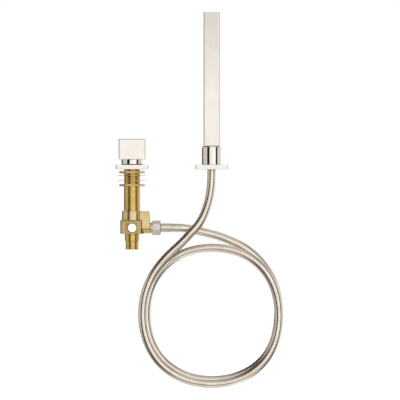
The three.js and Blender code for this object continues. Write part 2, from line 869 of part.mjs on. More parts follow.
function wandPlug() {
  const plug = box(wandInside - 2 * restGap, wandInside - 2 * restGap, wandBottom, wandBottom + wandPlugHeight);
  return cut(
    joined(plug, rod(pipeThreadDiameter, wandSpigotEnd, wandBottom + overcut)),
    rod(checkValveDiameter + 2 * restGap, wandSpigotEnd - overcut, wandSpigotEnd + checkValveLength + 2 * restGap, 20),
    rod(flowTubeDiameter - 2 * flowTubeWall, wandSpigotEnd, wandBottom + wandPlugHeight + overcut, 16),
  );
}

function checkValve() {
  const bottom = wandSpigotEnd + restGap;
  return ring(checkValveDiameter, checkValvePort, bottom, bottom + checkValveLength, 16);
}

function flowTube() {
  return ring(flowTubeDiameter, flowTubeDiameter - 2 * flowTubeWall, flowTubeBottom, flowTubeTop, 16);
}

function windowBox(width, height, from, to) {
  return new THREE.BoxGeometry(width, to - from, height).translate(0, (from + to) / 2, sprayCentre);
}

function wandShell() {
  return cut(
    squareBar(wandSide, wandEdge, wandBottom, wandTop),
    box(wandInside, wandInside, wandBottom - overcut, wandTop - wandWall),
    windowBox(sprayWindowWidth, sprayWindowHeight, 0, wandSide),
  );
}

function sprayChamber() {
  const half = wandInside / 2 - restGap;
  const back = nozzleMatBack - restGap;
  const blank = box(2 * half, half + back, sprayChamberBottom, sprayChamberTop)
    .translate(0, (back - half) / 2, 0);
  const hollow = box(
    2 * (half - sprayChamberWall),
    half + back,
    sprayChamberBottom + sprayChamberWall,
    sprayChamberTop - sprayChamberWall,
  ).translate(0, (back - half) / 2 + sprayChamberWall, 0);
  const inlet = rod(
    flowTubeDiameter - 2 * flowTubeWall,
    sprayChamberBottom - overcut,
    sprayChamberBottom + sprayChamberWall + overcut,
    16,
  );
  return cut(blank, hollow, inlet);
}

function nozzlePlaces() {
  const places = [];
  for (let row = 0; row < nozzleRows; row += 1) {
    for (let column = 0; column < nozzleColumns; column += 1) {
      places.push([
        (column - (nozzleColumns - 1) / 2) * nozzleColumnPitch,
        sprayCentre + (row - (nozzleRows - 1) / 2) * nozzleRowPitch,
      ]);
    }
  }
  return places;
}

function nozzleRod(diameter, from, to, [x, z]) {
  return rod(diameter, from, to, 6).rotateX(-Math.PI / 2).translate(x, 0, z);
}

function nozzleMat() {
  const width = sprayWindowWidth + 2 * nozzleMatMargin;
  const height = sprayWindowHeight + 2 * nozzleMatMargin;
  const front = nozzleMatBack + nozzleMatThickness;
  const tip = wandSide / 2 + nozzleProud;
  const nozzles = nozzlePlaces().map((place) => nozzleRod(nozzleDiameter, front - nozzleMatThickness / 2, tip, place));
  return joined(windowBox(width, height, nozzleMatBack, front), ...nozzles);
}

function sprayPlate() {
  const back = wandInside / 2 + restGap;
  const front = back + sprayPlateThickness;
  const holes = nozzlePlaces().map((place) => (
    nozzleRod(nozzleDiameter + 2 * restGap, back - overcut, front + overcut, place)
  ));
  return cut(
    windowBox(sprayWindowWidth - 2 * restGap, sprayWindowHeight - 2 * restGap, back, front),
    ...holes,
  );
}

// ------------------------------------------------------------------ materials
const finishes = {
  nickel: { color: 0xe9ddcd, roughness: 0.16, metalness: 1 },
  brass: { color: 0xc9a552, roughness: 0.3, metalness: 1 },
  steel: { color: 0xcfc8bf, roughness: 0.24, metalness: 1 },
  rubber: { color: 0x26262a, roughness: 0.8, metalness: 0 },
  silicone: { color: 0xb9b7b3, roughness: 0.6, metalness: 0 },
  ceramic: { color: 0xf1efe8, roughness: 0.2, metalness: 0 },
  plastic: { color: 0xe6e4df, roughness: 0.5, metalness: 0 },
};

function add(group, name, finish, geometry) {
  const mesh = new THREE.Mesh(geometry, new THREE.MeshStandardMaterial(finishes[finish]));
  mesh.name = name;
  group.add(mesh);
}

// ------------------------------------------------------------------- assembly
const valve = new THREE.Group();
add(valve, 'handle_block', 'nickel', handleBlock());
add(valve, 'handle_set_screw', 'steel', handleSetScrew());
add(valve, 'trim_sleeve', 'nickel', trimSleeve());
add(valve, 'valve_escutcheon', 'nickel', escutcheon(threadBore, valveHollowDiameter));
add(valve, 'threaded_shank', 'brass', threadedShank());
add(valve, 'upper_locknut', 'brass', locknut(-upperNutDrop));
add(valve, 'upper_washer', 'steel', deckWasher(-upperWasherDrop));
add(valve, 'lower_washer', 'steel', deckWasher(-upperWasherDrop - washerThickness - deckGap));
add(valve, 'lower_locknut', 'brass', locknut(-lowerNutDrop));
add(valve, 'spindle_guide', 'brass', spindleGuide());
add(valve, 'spindle_o_ring', 'rubber', spindleSeal());
add(valve, 'valve_spindle', 'brass', valveSpindle());
add(valve, 'cartridge_housing', 'plastic', cartridgeHousing());
add(valve, 'moving_ceramic_disc', 'ceramic', movingDisc());
add(valve, 'fixed_ceramic_disc', 'ceramic', fixedDisc());
add(valve, 'cartridge_seal', 'rubber', discSeal());
add(valve, 'valve_body', 'brass', valveBody());
add(valve, 'inlet_nipple', 'brass', inletNipple());
add(valve, 'hose_nut', 'nickel', hoseNut());
add(valve, 'hose_washer', 'rubber', hoseWasher());
add(valve, 'valve_end_ferrule', 'steel', valveEndFerrule());

const hose = new THREE.Group();
const feedEnd = distanceAlong(feedJoint.at);
const riseStart = distanceAlong(riseJoint.at);
add(hose, 'hose_feed_run', 'steel', ribbedHose(0, feedEnd - restGap / 2));
add(hose, 'hose_loops', 'steel', ribbedHose(feedEnd + restGap / 2, riseStart - restGap / 2));
add(hose, 'hose_rise_run', 'steel', ribbedHose(riseStart + restGap / 2, hoseLength));
console.log(`hose length ${hoseLength.toFixed(1)} mm, least gap to itself ${leastHoseGap().toFixed(2)} mm`);

const shower = new THREE.Group();
shower.position.x = valveToShower;
add(shower, 'holder_escutcheon', 'nickel', escutcheon(holderTailDiameter + 2 * restGap, holderHollowDiameter));
add(shower, 'holder_collar', 'nickel', holderCollar());
add(shower, 'holder_ring_nut', 'brass', holderRingNut());
add(shower, 'holder_liner', 'plastic', holderLiner());
add(shower, 'wand_end_ferrule', 'steel', wandEndFerrule());
add(shower, 'cone_nut', 'nickel', coneNut());
add(shower, 'cone_nut_washer', 'rubber', coneNutWasher());
add(shower, 'wand_inlet_plug', 'brass', wandPlug());
add(shower, 'check_valve', 'plastic', checkValve());
add(shower, 'wand_shell', 'nickel', wandShell());
add(shower, 'flow_tube', 'plastic', flowTube());
add(shower, 'spray_chamber', 'plastic', sprayChamber());
add(shower, 'nozzle_mat', 'silicone', nozzleMat());
add(shower, 'spray_plate', 'nickel', sprayPlate());

const handShowerSet = new THREE.Group();
handShowerSet.add(valve, hose, shower);
export default handShowerSet;
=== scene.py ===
import json
import math

import bpy
import numpy as np
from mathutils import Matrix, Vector


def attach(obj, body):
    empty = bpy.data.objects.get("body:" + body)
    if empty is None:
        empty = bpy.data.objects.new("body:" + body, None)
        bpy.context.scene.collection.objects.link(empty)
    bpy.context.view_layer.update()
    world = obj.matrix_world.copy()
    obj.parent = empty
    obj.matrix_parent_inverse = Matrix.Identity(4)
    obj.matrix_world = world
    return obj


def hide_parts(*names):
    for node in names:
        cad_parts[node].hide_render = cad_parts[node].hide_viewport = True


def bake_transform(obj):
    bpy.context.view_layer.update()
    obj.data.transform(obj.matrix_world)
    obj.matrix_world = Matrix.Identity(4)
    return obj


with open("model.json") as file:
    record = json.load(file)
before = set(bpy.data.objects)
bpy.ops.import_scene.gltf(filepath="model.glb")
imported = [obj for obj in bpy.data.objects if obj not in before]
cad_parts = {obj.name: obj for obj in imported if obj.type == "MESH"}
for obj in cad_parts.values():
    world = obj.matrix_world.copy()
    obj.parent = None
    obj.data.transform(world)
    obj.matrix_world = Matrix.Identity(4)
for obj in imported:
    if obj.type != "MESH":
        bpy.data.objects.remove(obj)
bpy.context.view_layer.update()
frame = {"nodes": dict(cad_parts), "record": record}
cadNodes = frame["nodes"]
scene = bpy.context.scene
mm = 0.001
weld = 2e-6  # m, points of a made shape that lie closer are one
samePoint = 1e-7  # m, the same for a drawn outline and for the hose
sameSpot = 1e-3  # mm, how exactly an edge is looked for
past = 2  # mm that a cutter reaches past the metal
justPast = 1  # mm, the same for a nut
hair = 0.01  # mm that keeps faces out of one plane, and the slack in a test
print("frame loaded:", len(cadNodes), "nodes")


# helpers for edit mode

def deselectAll():
    if bpy.context.object and bpy.context.object.mode != "OBJECT":
        bpy.ops.object.mode_set(mode="OBJECT")
    bpy.ops.object.select_all(action="DESELECT")


def pick(piece):
    deselectAll()
    piece.select_set(True)
    bpy.context.view_layer.objects.active = piece


def openMesh(piece, mode="VERT"):
    pick(piece)
    bpy.ops.object.mode_set(mode="EDIT")
    bpy.ops.mesh.select_mode(type=mode)


def takeAll():
    bpy.ops.mesh.select_all(action="SELECT")


def closeMesh():
    bpy.ops.object.mode_set(mode="OBJECT")


def placeInMesh(piece):
    pick(piece)
    bpy.ops.object.transform_apply(location=True, rotation=True, scale=True)
    return piece


def applyAll(piece):
    pick(piece)
    for modifier in list(piece.modifiers):
        bpy.ops.object.modifier_apply(modifier=modifier.name)
    return piece


def mergeAndFaceOut(piece):
    openMesh(piece)
    takeAll()
    bpy.ops.mesh.remove_doubles(threshold=weld)
    bpy.ops.mesh.normals_make_consistent(inside=False)
    closeMesh()
    return piece


def softenEdges(piece, width, segments=2, angle=32):
    modifier = piece.modifiers.new("soft edges", "BEVEL")
    modifier.width = width * mm
    modifier.segments = segments
    modifier.limit_method = "ANGLE"
    modifier.angle_limit = math.radians(angle)
    return applyAll(piece)


def roundWhere(piece, radius, wanted, segments=5):
    openMesh(piece, "EDGE")
    bpy.ops.mesh.select_all(action="DESELECT")
    closeMesh()
    for edge in piece.data.edges:
        edge.select = wanted(*(piece.data.vertices[i].co / mm for i in edge.vertices))
    openMesh(piece, "EDGE")
    bpy.ops.mesh.bevel(offset=radius * mm, segments=segments)
    closeMesh()


def upright(start, end):
    return math.hypot(start.x - end.x, start.y - end.y) < sameSpot


def lyingAt(height):
    return lambda start, end: max(abs(start.z - height), abs(end.z - height)) < sameSpot


def combine(piece, tool, how):
    modifier = piece.modifiers.new("combine", "BOOLEAN")
    modifier.operation = how
    modifier.solver = "EXACT"
    modifier.object = tool
    applyAll(piece)
    bpy.data.objects.remove(tool, do_unlink=True)


def cutOut(piece, tool):
    combine(piece, tool, "DIFFERENCE")


def joinOn(piece, tool):
    combine(piece, tool, "UNION")


def drawOutline(name, outline, closed):
    deselectAll()
    bpy.ops.mesh.primitive_plane_add(size=mm)
    piece = bpy.context.object
    piece.name = name
    openMesh(piece)
    takeAll()
    bpy.ops.mesh.merge(type="CENTER")
    bpy.ops.transform.translate(value=(outline[0][0] * mm, 0, outline[0][1] * mm))
    steps = outline[1:] + [outline[0]] if closed else outline[1:]
    here = outline[0]
    for there in steps:
        move = ((there[0] - here[0]) * mm, 0, (there[1] - here[1]) * mm)
        bpy.ops.mesh.extrude_region_move(TRANSFORM_OT_translate={"value": move})
        here = there
    takeAll()
    if closed:
        bpy.ops.mesh.remove_doubles(threshold=samePoint)
    return piece


def ringOutline(inside, outside, low, high):
    return [(inside, low), (outside, low), (outside, high), (inside, high)]


def turnPiece(name, outline, sides=96):
    piece = drawOutline(name, outline, outline[0][0] > 0)
    takeAll()
    bpy.ops.mesh.spin(steps=sides, angle=2 * math.pi, center=(0, 0, 0), axis=(0, 0, 1))
    closeMesh()
    return mergeAndFaceOut(piece)


def slabPiece(name, outline, thickness):
    piece = drawOutline(name, outline, True)
    bpy.ops.mesh.edge_face_add()
    bpy.ops.mesh.extrude_region_move(TRANSFORM_OT_translate={"value": (0, thickness * mm, 0)})
    takeAll()
    bpy.ops.transform.translate(value=(0, -thickness / 2 * mm, 0))
    closeMesh()
    return mergeAndFaceOut(piece)


def chamferEnds(piece, wide, low, high, lowCut, highCut):  # each cut is how far in and how long
    (lowIn, lowLong), (highIn, highLong) = lowCut, highCut
    combine(piece, turnPiece("chamfer", [
        (0, low - hair), (wide - lowIn, low - hair), (wide, low + lowLong), (wide, high - highLong),
        (wide - highIn, high + hair), (0, high + hair)]), "INTERSECT")


def rodPiece(name, diameter, low, high, sides=64, at=(0, 0)):
    deselectAll()
    bpy.ops.mesh.primitive_cylinder_add(
        vertices=sides, radius=diameter / 2 * mm, depth=(high - low) * mm,
        location=(at[0] * mm, at[1] * mm, (low + high) / 2 * mm))
    piece = bpy.context.object
    piece.name = name
    return placeInMesh(piece)


def boxPiece(name, low, high):
    deselectAll()
    size = [(b - a) * mm for a, b in zip(low, high)]
    middle = [(a + b) / 2 * mm for a, b in zip(low, high)]
    bpy.ops.mesh.primitive_cube_add(size=1, location=middle)
    piece = bpy.context.object
    piece.name = name
    piece.scale = size
    return placeInMesh(piece)


def layAlongX(piece, height):
    piece.rotation_euler = (0, math.pi / 2, 0)
    piece.location = (0, 0, height * mm)
    return placeInMesh(piece)


def layAlongY(piece, height, x=0):
    piece.rotation_euler = (-math.pi / 2, 0, 0)
    piece.location = (x * mm, 0, height * mm)
    return placeInMesh(piece)


def trimFlat(piece, height, keepBelow):
    openMesh(piece)
    takeAll()
    bpy.ops.mesh.bisect(plane_co=(0, 0, height * mm), plane_no=(0, 0, 1), use_fill=True,
                        clear_outer=keepBelow, clear_inner=not keepBelow)
    closeMesh()


threadForm = [(0, 1), (0, 0.84), (1, 0.6), (1, 0.24), (0, 0)]  # 0 root or 1 crest, and share of a pitch below


def threadPiece(name, diameter, depth, pitch, low, high, sides=48):
    radii = (diameter / 2 - depth, diameter / 2)
    piece = drawOutline(name, [(radii[crest], low - share * pitch) for crest, share in threadForm], False)
    closeMesh()
    screw = piece.modifiers.new("thread", "SCREW")
    screw.steps = screw.render_steps = sides
    screw.screw_offset = pitch * mm
    screw.iterations = math.ceil((high - low) / pitch) + 2
    applyAll(piece)
    openMesh(piece)
    takeAll()
    bpy.ops.mesh.remove_doubles(threshold=weld)
    closeMesh()
    trimFlat(piece, high, True)
    trimFlat(piece, low, False)
    return mergeAndFaceOut(piece)


def finishPiece(piece, material, body, replaced, angle=35):
    pick(piece)
    bpy.ops.object.shade_smooth_by_angle(angle=math.radians(angle))
    # keeps wide faces flat beside their soft edges
    steady = piece.modifiers.new("steady flats", "WEIGHTED_NORMAL")
    steady.keep_sharp = True
    applyAll(piece)
    piece.data.materials.clear()
    piece.data.materials.append(material)
    if body:
        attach(piece, body)
    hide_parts(*replaced)
    return piece


def addFinishesAndShade(piece, materials, choose):
    for material in materials:
        piece.data.materials.append(material)
    for face in piece.data.polygons:
        face.material_index = int(choose(face))


flats = {"square": 0.9995, "area": 1e-4, "strip": 0.85}  # least squareness, least area, least x of a strip


def paintLitFlats(piece, material):  # wide faces and the outermost strips beside them get a softer polish, and painted light: a paler, half-diffuse copy of the nickel
    def soft(face):
        wide = max(abs(n) for n in face.normal) > flats["square"] and face.area > flats["area"]
        return wide or flats["strip"] < abs(face.normal.x) < flats["square"]

    addFinishesAndShade(piece, [material], soft)


view = {"middle": (0.1114, -0.0503), "distance": 8.0, "width": 0.656, "sensor": 36}
bpy.ops.object.camera_add(
    location=(view["middle"][0], -view["distance"], view["middle"][1]), rotation=(math.pi / 2, 0, 0))
camera = bpy.context.object
camera.data.sensor_width = view["sensor"]
camera.data.lens = view["sensor"] * view["distance"] / view["width"]
camera.data.clip_end = 50
scene.camera = camera


# Metres. The hose leaves the valve's ferrule, lies in one and a half loops, and rises to the wand.

hoseSpec = {
    "diameter": 0.014,
    "pitch": 0.0036,  # of the wound strip
    "sides": 24,
    # share of one pitch, and radius in mm
    "strip": [(0.0, 6.3), (0.09, 6.3), (0.16, 6.9), (0.3, 7.0), (0.78, 7.0), (0.93, 6.9)],
    "intoFerrule": 0.006,
    "spacing": 0.002,  # of its points
    "easing": 36,  # rounds
}
hoseStart = (0.0640, 0.0, -0.0961)
hoseEnd = (0.1305, 0.0, 0.0040)
feedRoute = [
    (0.092, 0.0012, -0.0973), (0.0995, 0.0032, -0.0992), (0.109, 0.006, -0.1012),
    (0.1187, 0.0084, -0.1036), (0.1285, 0.01, -0.106), (0.136, 0.0105, -0.108),
]
feedToLoops = [
    (0.1876, 0.0105, -0.1311), (0.1975, 0.0105, -0.1383), (0.2074, 0.0105, -0.147),
    (0.2175, 0.0104, -0.1596), (0.226, 0.0103, -0.1725), (0.2336, 0.0101, -0.1885),
    (0.2386, 0.0099, -0.2065), (0.2409, 0.0097, -0.222),
]
loopsToRise = [
    (0.031, -0.0147, -0.178), (0.0386, -0.0146, -0.1654), (0.046, -0.0144, -0.1556),
    (0.0542, -0.0141, -0.1462), (0.0632, -0.0138, -0.1373), (0.0724, -0.0134, -0.1286),
]
riseRoute = [
    (0.1072, -0.0121, -0.0934), (0.1135, -0.0108, -0.0839), (0.1183, -0.0091, -0.074),
    (0.122, -0.007, -0.0643), (0.125, -0.0049, -0.0545), (0.1273, -0.003, -0.0447),
    (0.129, -0.0014, -0.0348),
]
feedJoint = ((0.1581, 0.0105, -0.116), (0.922, 0.0, -0.387))  # a place, and the way the hose runs there
riseJoint = ((0.0905, -0.013, -0.1108), (0.682, 0.01, 0.731))
straight = {"reach": 0.02, "gap": 0.005}  # out of a ferrule, and each way from a joint
loops = {
    "middle": (0.1319, -0.2373), "first": 0.1102, "second": 0.1163, "squareness": 0.0015,
    "steps": 24, "turns": 37 / 24, "startY": 0.0095, "advance": 0.016, "widen": (0.97, 1.25),
}


def straightSteps(start):
    return np.arange(start, straight["reach"] + straight["gap"] / 2, straight["gap"])


def straightThrough(joint):
    place, along = joint
    return [tuple(p + d * a for p, a in zip(place, along)) for d in straightSteps(-straight["reach"])]


def loopStations():
    stations = []
    for step in range(int(round(loops["turns"] * loops["steps"])) + 1):
        turns = step / loops["steps"]
        angle = -2 * math.pi * turns
        share = min(max((turns - loops["widen"][0]) / (loops["widen"][1] - loops["widen"][0]), 0), 1)
        share = share * share * (3 - 2 * share)
        radius = loops["first"] + (loops["second"] - loops["first"]) * share
        radius -= loops["squareness"] * math.cos(4 * angle)
        stations.append((loops["middle"][0] + radius * math.cos(angle),
                         loops["startY"] - loops["advance"] * turns,
                         loops["middle"][1] + radius * math.sin(angle)))
    return stations


def smoothThrough(stations, steps=24):
    points = [np.array(station, float) for station in stations]
    points = [2 * points[0] - points[1]] + points + [2 * points[-1] - points[-2]]
    line = []
    for a, b, c, d in zip(points, points[1:], points[2:], points[3:]):
        ab, bc, cd = (np.linalg.norm(q - p) ** 0.5 for p, q in ((a, b), (b, c), (c, d)))
        leave = ((b - a) / ab - (c - a) / (ab + bc) + (c - b) / bc) * bc
        arrive = ((c - b) / bc - (d - b) / (bc + cd) + (d - c) / cd) * bc
        for t in np.arange(steps) / steps:
            line.append(b + leave * t + (-3 * b + 3 * c - 2 * leave - arrive) * t ** 2
                        + (2 * b - 2 * c + leave + arrive) * t ** 3)
    line.append(points[-2])
    return np.array(line)


def lengthsAlong(line):
    return np.concatenate([[0], np.cumsum(np.linalg.norm(np.diff(line, axis=0), axis=1))])


def valuesAlong(values, lengths, places):
    return np.stack([np.interp(places, lengths, values[:, k]) for k in range(3)], axis=-1)


def hoseLine():
    leads = straightSteps(0)
    straightOut = [(hoseStart[0] + d, 0.0, hoseStart[2]) for d in leads]
    straightIn = [(hoseEnd[0], 0.0, hoseEnd[2] - d) for d in leads[::-1]]
    stations = (straightOut + feedRoute + straightThrough(feedJoint) + feedToLoops + loopStations()
                + loopsToRise + straightThrough(riseJoint) + riseRoute + straightIn)
    line = smoothThrough(stations)
    lengths = lengthsAlong(line)
    places = np.linspace(0, lengths[-1], int(lengths[-1] / hoseSpec["spacing"]) + 1)
    line = valuesAlong(line, lengths, places)
    for _ in range(hoseSpec["easing"]):  # a real hose has no corner where two stretches meet
        line[1:-1] = line[1:-1] / 2 + (line[:-2] + line[2:]) / 4
    before = line[0] - np.array((hoseSpec["intoFerrule"], 0, 0))
    after = line[-1] + np.array((0, 0, hoseSpec["intoFerrule"]))
    return np.vstack([before, line, after])


def hoseDirections(line, lengths):
    tangents = np.gradient(line, lengths, axis=0)
    tangents /= np.linalg.norm(tangents, axis=1)[:, None]
    sides = np.zeros_like(line)
    sides[0] = (0, 1, 0)
    for i in range(1, len(line)):
        side = sides[i - 1] - tangents[i] * np.dot(sides[i - 1], tangents[i])
        sides[i] = side / np.linalg.norm(side)
    return tangents, sides


def woundHose(line):
    lengths = lengthsAlong(line)
    total = lengths[-1]
    tangents, sides = hoseDirections(line, lengths)
    count, pitch, strip = hoseSpec["sides"], hoseSpec["pitch"], hoseSpec["strip"]
    turns = range(-1, int(total / pitch) + 2)
    places = np.array([(turn + share) * pitch for turn in turns for share, radius in strip])
    radii = np.array([radius * mm for turn in turns for share, radius in strip])
    grid = places[:, None] + pitch * np.arange(count)[None, :] / count  # a strip climbs one pitch a turn
    inside = np.clip(grid, 0, total)
    centre, tangent, side = (valuesAlong(values, lengths, inside) for values in (line, tangents, sides))
    angle = 2 * math.pi * np.arange(count) / count
    ring = side * np.cos(angle)[None, :, None] + np.cross(tangent, side) * np.sin(angle)[None, :, None]
    points = (centre + ring * radii[:, None, None]).reshape(-1, 3)

    rows = len(places)
    index = np.arange(rows * count).reshape(rows, count)
    faces = []
    for i in range(rows - 1):
        for j in range(count):
            # the last side meets the next turn
            row, beside = (i, j + 1) if j < count - 1 else (i + len(strip), 0)
            if row + 1 >= rows:
                continue
            corners = ((i, j), (row, beside), (row + 1, beside), (i + 1, j))
            spans = [inside[corner] for corner in corners]
            if max(spans) > 0 and min(spans) < total:
                faces.append([int(index[corner]) for corner in corners])
    mesh = bpy.data.meshes.new("showerHose")
    mesh.from_pydata(points.tolist(), [], faces)
    piece = bpy.data.objects.new("showerHose", mesh)
    scene.collection.objects.link(piece)
    openMesh(piece)
    takeAll()
    bpy.ops.mesh.remove_doubles(threshold=samePoint)
    bpy.ops.mesh.delete_loose()
    takeAll()
    bpy.ops.mesh.fill_holes(sides=0)
    bpy.ops.mesh.normals_make_consistent(inside=False)
    closeMesh()
    return piece, total


hosePath = hoseLine()
showerHose, hoseLength = woundHose(hosePath)
print("hose wound:", round(hoseLength, 4), "m,", len(showerHose.data.polygons), "faces")


# helpers for finishes and for painted shade

def newFinish(name, metallic):
    material = bpy.data.materials.new(name)
    material.use_nodes = True
    shader = material.node_tree.nodes["Principled BSDF"]
    shader.inputs["Metallic"].default_value = metallic
    return material, shader


def addNode(material, kind, **settings):
    node = material.node_tree.nodes.new(kind)
    for key, value in settings.items():
        if key in node.inputs:
            node.inputs[key].default_value = value
        else:
            setattr(node, key, value)
    return node


def wire(material, output, target):
    material.node_tree.links.new(output, target)


def objectPlace(material, stretch=(1, 1, 1)):
    coordinates = addNode(material, "ShaderNodeTexCoord")
    mapping = addNode(material, "ShaderNodeMapping", Scale=stretch)
    wire(material, coordinates.outputs["Object"], mapping.inputs["Vector"])
    return mapping.outputs["Vector"]


def noise(material, place, scale, detail=3.0, roughness=0.55):
    node = addNode(material, "ShaderNodeTexNoise", Scale=scale, Detail=detail, Roughness=roughness)
    wire(material, place, node.inputs["Vector"])
    return node.outputs["Fac"]


def ramp(material, value, stops):
    node = addNode(material, "ShaderNodeValToRGB")
    elements = node.color_ramp.elements
    elements[0].position, elements[0].color = stops[0][0], (*stops[0][1], 1)
    elements[1].position, elements[1].color = stops[-1][0], (*stops[-1][1], 1)
    for position, colour in stops[1:-1]:
        element = elements.new(position)
        element.color = (*colour, 1)
    wire(material, value, node.inputs["Fac"])
    return node.outputs["Color"]


def between(material, value, low, high, fromLow=0.3, fromHigh=0.7):
    node = addNode(material, "ShaderNodeMapRange", **{
        "From Min": fromLow, "From Max": fromHigh, "To Min": low, "To Max": high})
    wire(material, value, node.inputs["Value"])
    return node.outputs["Result"]


def relief(material, shader, value, strength, depth):
    node = addNode(material, "ShaderNodeBump", Strength=strength, Distance=depth * mm)
    wire(material, value, node.inputs["Height"])
    wire(material, node.outputs["Normal"], shader.inputs["Normal"])


def mathNode(tree, operation, first, second=None, third=None):
    node = tree.nodes.new("ShaderNodeMath")
    node.operation = operation
    for socket, value in zip(node.inputs, (first, second, third)):
        if isinstance(value, (int, float)):
            socket.default_value = value
        elif value is not None:
            tree.links.new(value, socket)
    return node.outputs[0]


def addUp(material, first, second, weight):
    return mathNode(material.node_tree, "MULTIPLY_ADD", second, weight, first)


# paints shade: the colour darkens with height
def paintShadeUpwards(material, colour, low, high, share):
    split = addNode(material, "ShaderNodeSeparateXYZ")
    wire(material, objectPlace(material), split.inputs[0])
    scaled = addNode(material, "ShaderNodeVectorMath", operation="SCALE")
    wire(material, colour, scaled.inputs[0])
    wire(material, between(material, split.outputs["Z"], 1, share, low, high), scaled.inputs["Scale"])
    return scaled.outputs[0]


def coatAll(material, shader, colour, patches, roughness):
    wire(material, colour, shader.inputs["Base Color"])
    wire(material, between(material, patches, *roughness), shader.inputs["Roughness"])


def polishedMetal(name, dark, pale, roughness, metallic=1.0, paintedShade=None):
    material, shader = newFinish(name, metallic)
    place = objectPlace(material)
    clouds = noise(material, place, 45, 2)
    grain = noise(material, place, 900, 4)
    smears = noise(material, objectPlace(material, (1, 1, 0.25)), 160, 4)
    colour = ramp(material, clouds, [(0.35, dark), (0.65, pale)])
    coatAll(material, shader, paintShadeUpwards(material, colour, *paintedShade) if paintedShade else colour, smears, roughness)
    relief(material, shader, addUp(material, grain, clouds, 1.5), 0.012, 0.05)
    return material


def machinedMetal(name, dark, pale, roughness, axis, ridge):
    material, shader = newFinish(name, 1.0)
    place = objectPlace(material)
    stretch = {"X": (1, 0.02, 0.02), "Z": (0.02, 0.02, 1)}[axis]
    marks = noise(material, objectPlace(material, stretch), 2600, 3)
    clouds = noise(material, place, 70, 3)
    grain = noise(material, place, 1300, 3)
    coatAll(material, shader, ramp(material, clouds, [(0.3, dark), (0.7, pale)]), grain, roughness)
    relief(material, shader, addUp(material, marks, grain, 0.4), ridge, 0.02)
    return material


def castMetal(name, dark, pale, roughness, metallic=1.0):
    material, shader = newFinish(name, metallic)
    place = objectPlace(material)
    clouds = noise(material, place, 55, 4)
    skin = noise(material, place, 650, 5, 0.65)
    pits = noise(material, place, 2200, 2)
    colour = ramp(material, clouds, [(0.28, dark), (0.5, pale), (0.75, pale)])
    coatAll(material, shader, colour, skin, roughness)
    relief(material, shader, addUp(material, skin, pits, 0.35), 0.2, 0.08)
    return material


def mouldedFinish(name, dark, pale, roughness, grainSize=900, depth=0.03):
    material, shader = newFinish(name, 0.0)
    place = objectPlace(material)
    clouds = noise(material, place, 60, 2)
    grain = noise(material, place, grainSize, 4)
    coatAll(material, shader, ramp(material, clouds, [(0.3, dark), (0.7, pale)]), grain, roughness)
    relief(material, shader, grain, 0.35, depth)
    return material


# a darker and a paler colour, and the least and most roughness
nickel = polishedMetal("polishedNickel", (0.88, 0.83, 0.765), (0.91, 0.865, 0.805), (0.05, 0.09))
# painted light: a paler, half-diffuse copy of the nickel for the flat faces
litFlatNickel = polishedMetal("litFlatNickel", (0.93, 0.87, 0.79), (0.96, 0.905, 0.83), (0.27, 0.33), 0.5)
wandPaintedShade = (0.12, 0.24, 0.8)  # painted shade on the wand's flats, darker towards the top: from one height to another, in m, and what is left of the colour
# painted light and shade: a paler, half-diffuse copy of the nickel for the wand's flats, darker towards the
# top
wandLitShadedNickel = polishedMetal(
    "wandLitShadedNickel", (0.90, 0.845, 0.765), (0.93, 0.88, 0.805), (0.27, 0.33), 0.5, wandPaintedShade)
hoseNickel = polishedMetal("hoseNickel", (0.82, 0.745, 0.655), (0.90, 0.83, 0.745), (0.07, 0.12))
fittingNickel = polishedMetal("fittingNickel", (0.66, 0.605, 0.57), (0.74, 0.685, 0.65), (0.3, 0.4), 0.65)
# painted shade: near-black nickel for the dark lines on the hose nut's bevel faces
nutEdgeShade = polishedMetal("nutEdgeShade", (0.22, 0.19, 0.17), (0.32, 0.28, 0.25), (0.2, 0.3))
turnedBrass = machinedMetal(
    "turnedBrass", (0.65, 0.44, 0.128), (0.75, 0.53, 0.172), (0.22, 0.28), "Z", 0.03)
nutBrass = machinedMetal("nutBrass", (0.58, 0.40, 0.14), (0.70, 0.53, 0.22), (0.2, 0.32), "Z", 0.08)
castBrass = castMetal("castBrass", (0.655, 0.495, 0.222), (0.76, 0.60, 0.305), (0.17, 0.25), 0.9)
# painted shade: a darker, rougher copy of the cast brass for the valve block
shadedBlockBrass = castMetal("shadedBlockBrass", (0.50, 0.35, 0.165), (0.63, 0.465, 0.25), (0.26, 0.38))
# painted shade: a darker copy of the cast brass for the ring round the port
shadedFacingBrass = castMetal("shadedFacingBrass", (0.45, 0.31, 0.12), (0.60, 0.43, 0.18), (0.24, 0.34))
# painted shade: near-black brass for the port mouth, the block's edge outlines, the crease line, the wedge
# under the block and the lobe's corner
paintedShadeBrass = castMetal("paintedShadeBrass", (0.12, 0.09, 0.025), (0.22, 0.16, 0.05), (0.3, 0.42))
washerSteel = machinedMetal("washerSteel", (0.80, 0.65, 0.44), (0.88, 0.74, 0.54), (0.24, 0.34), "Z", 0.05)
screwSteel = machinedMetal("screwSteel", (0.30, 0.29, 0.28), (0.42, 0.41, 0.39), (0.28, 0.4), "X", 0.08)
sealRubber = mouldedFinish("sealRubber", (0.012, 0.012, 0.013), (0.022, 0.022, 0.024), (0.6, 0.75))
nozzleRubber = mouldedFinish("nozzleRubber", (0.27, 0.26, 0.25), (0.34, 0.33, 0.32), (0.5, 0.65))
cartridgePlastic = mouldedFinish("cartridgePlastic", (0.70, 0.69, 0.66), (0.78, 0.77, 0.74), (0.4, 0.52))
linerPlastic = mouldedFinish("linerPlastic", (0.74, 0.73, 0.70), (0.82, 0.81, 0.78), (0.34, 0.46))
discCeramic = mouldedFinish(
    "discCeramic", (0.82, 0.81, 0.77), (0.88, 0.87, 0.84), (0.1, 0.18), 1500, 0.005)
print("finishes mixed")

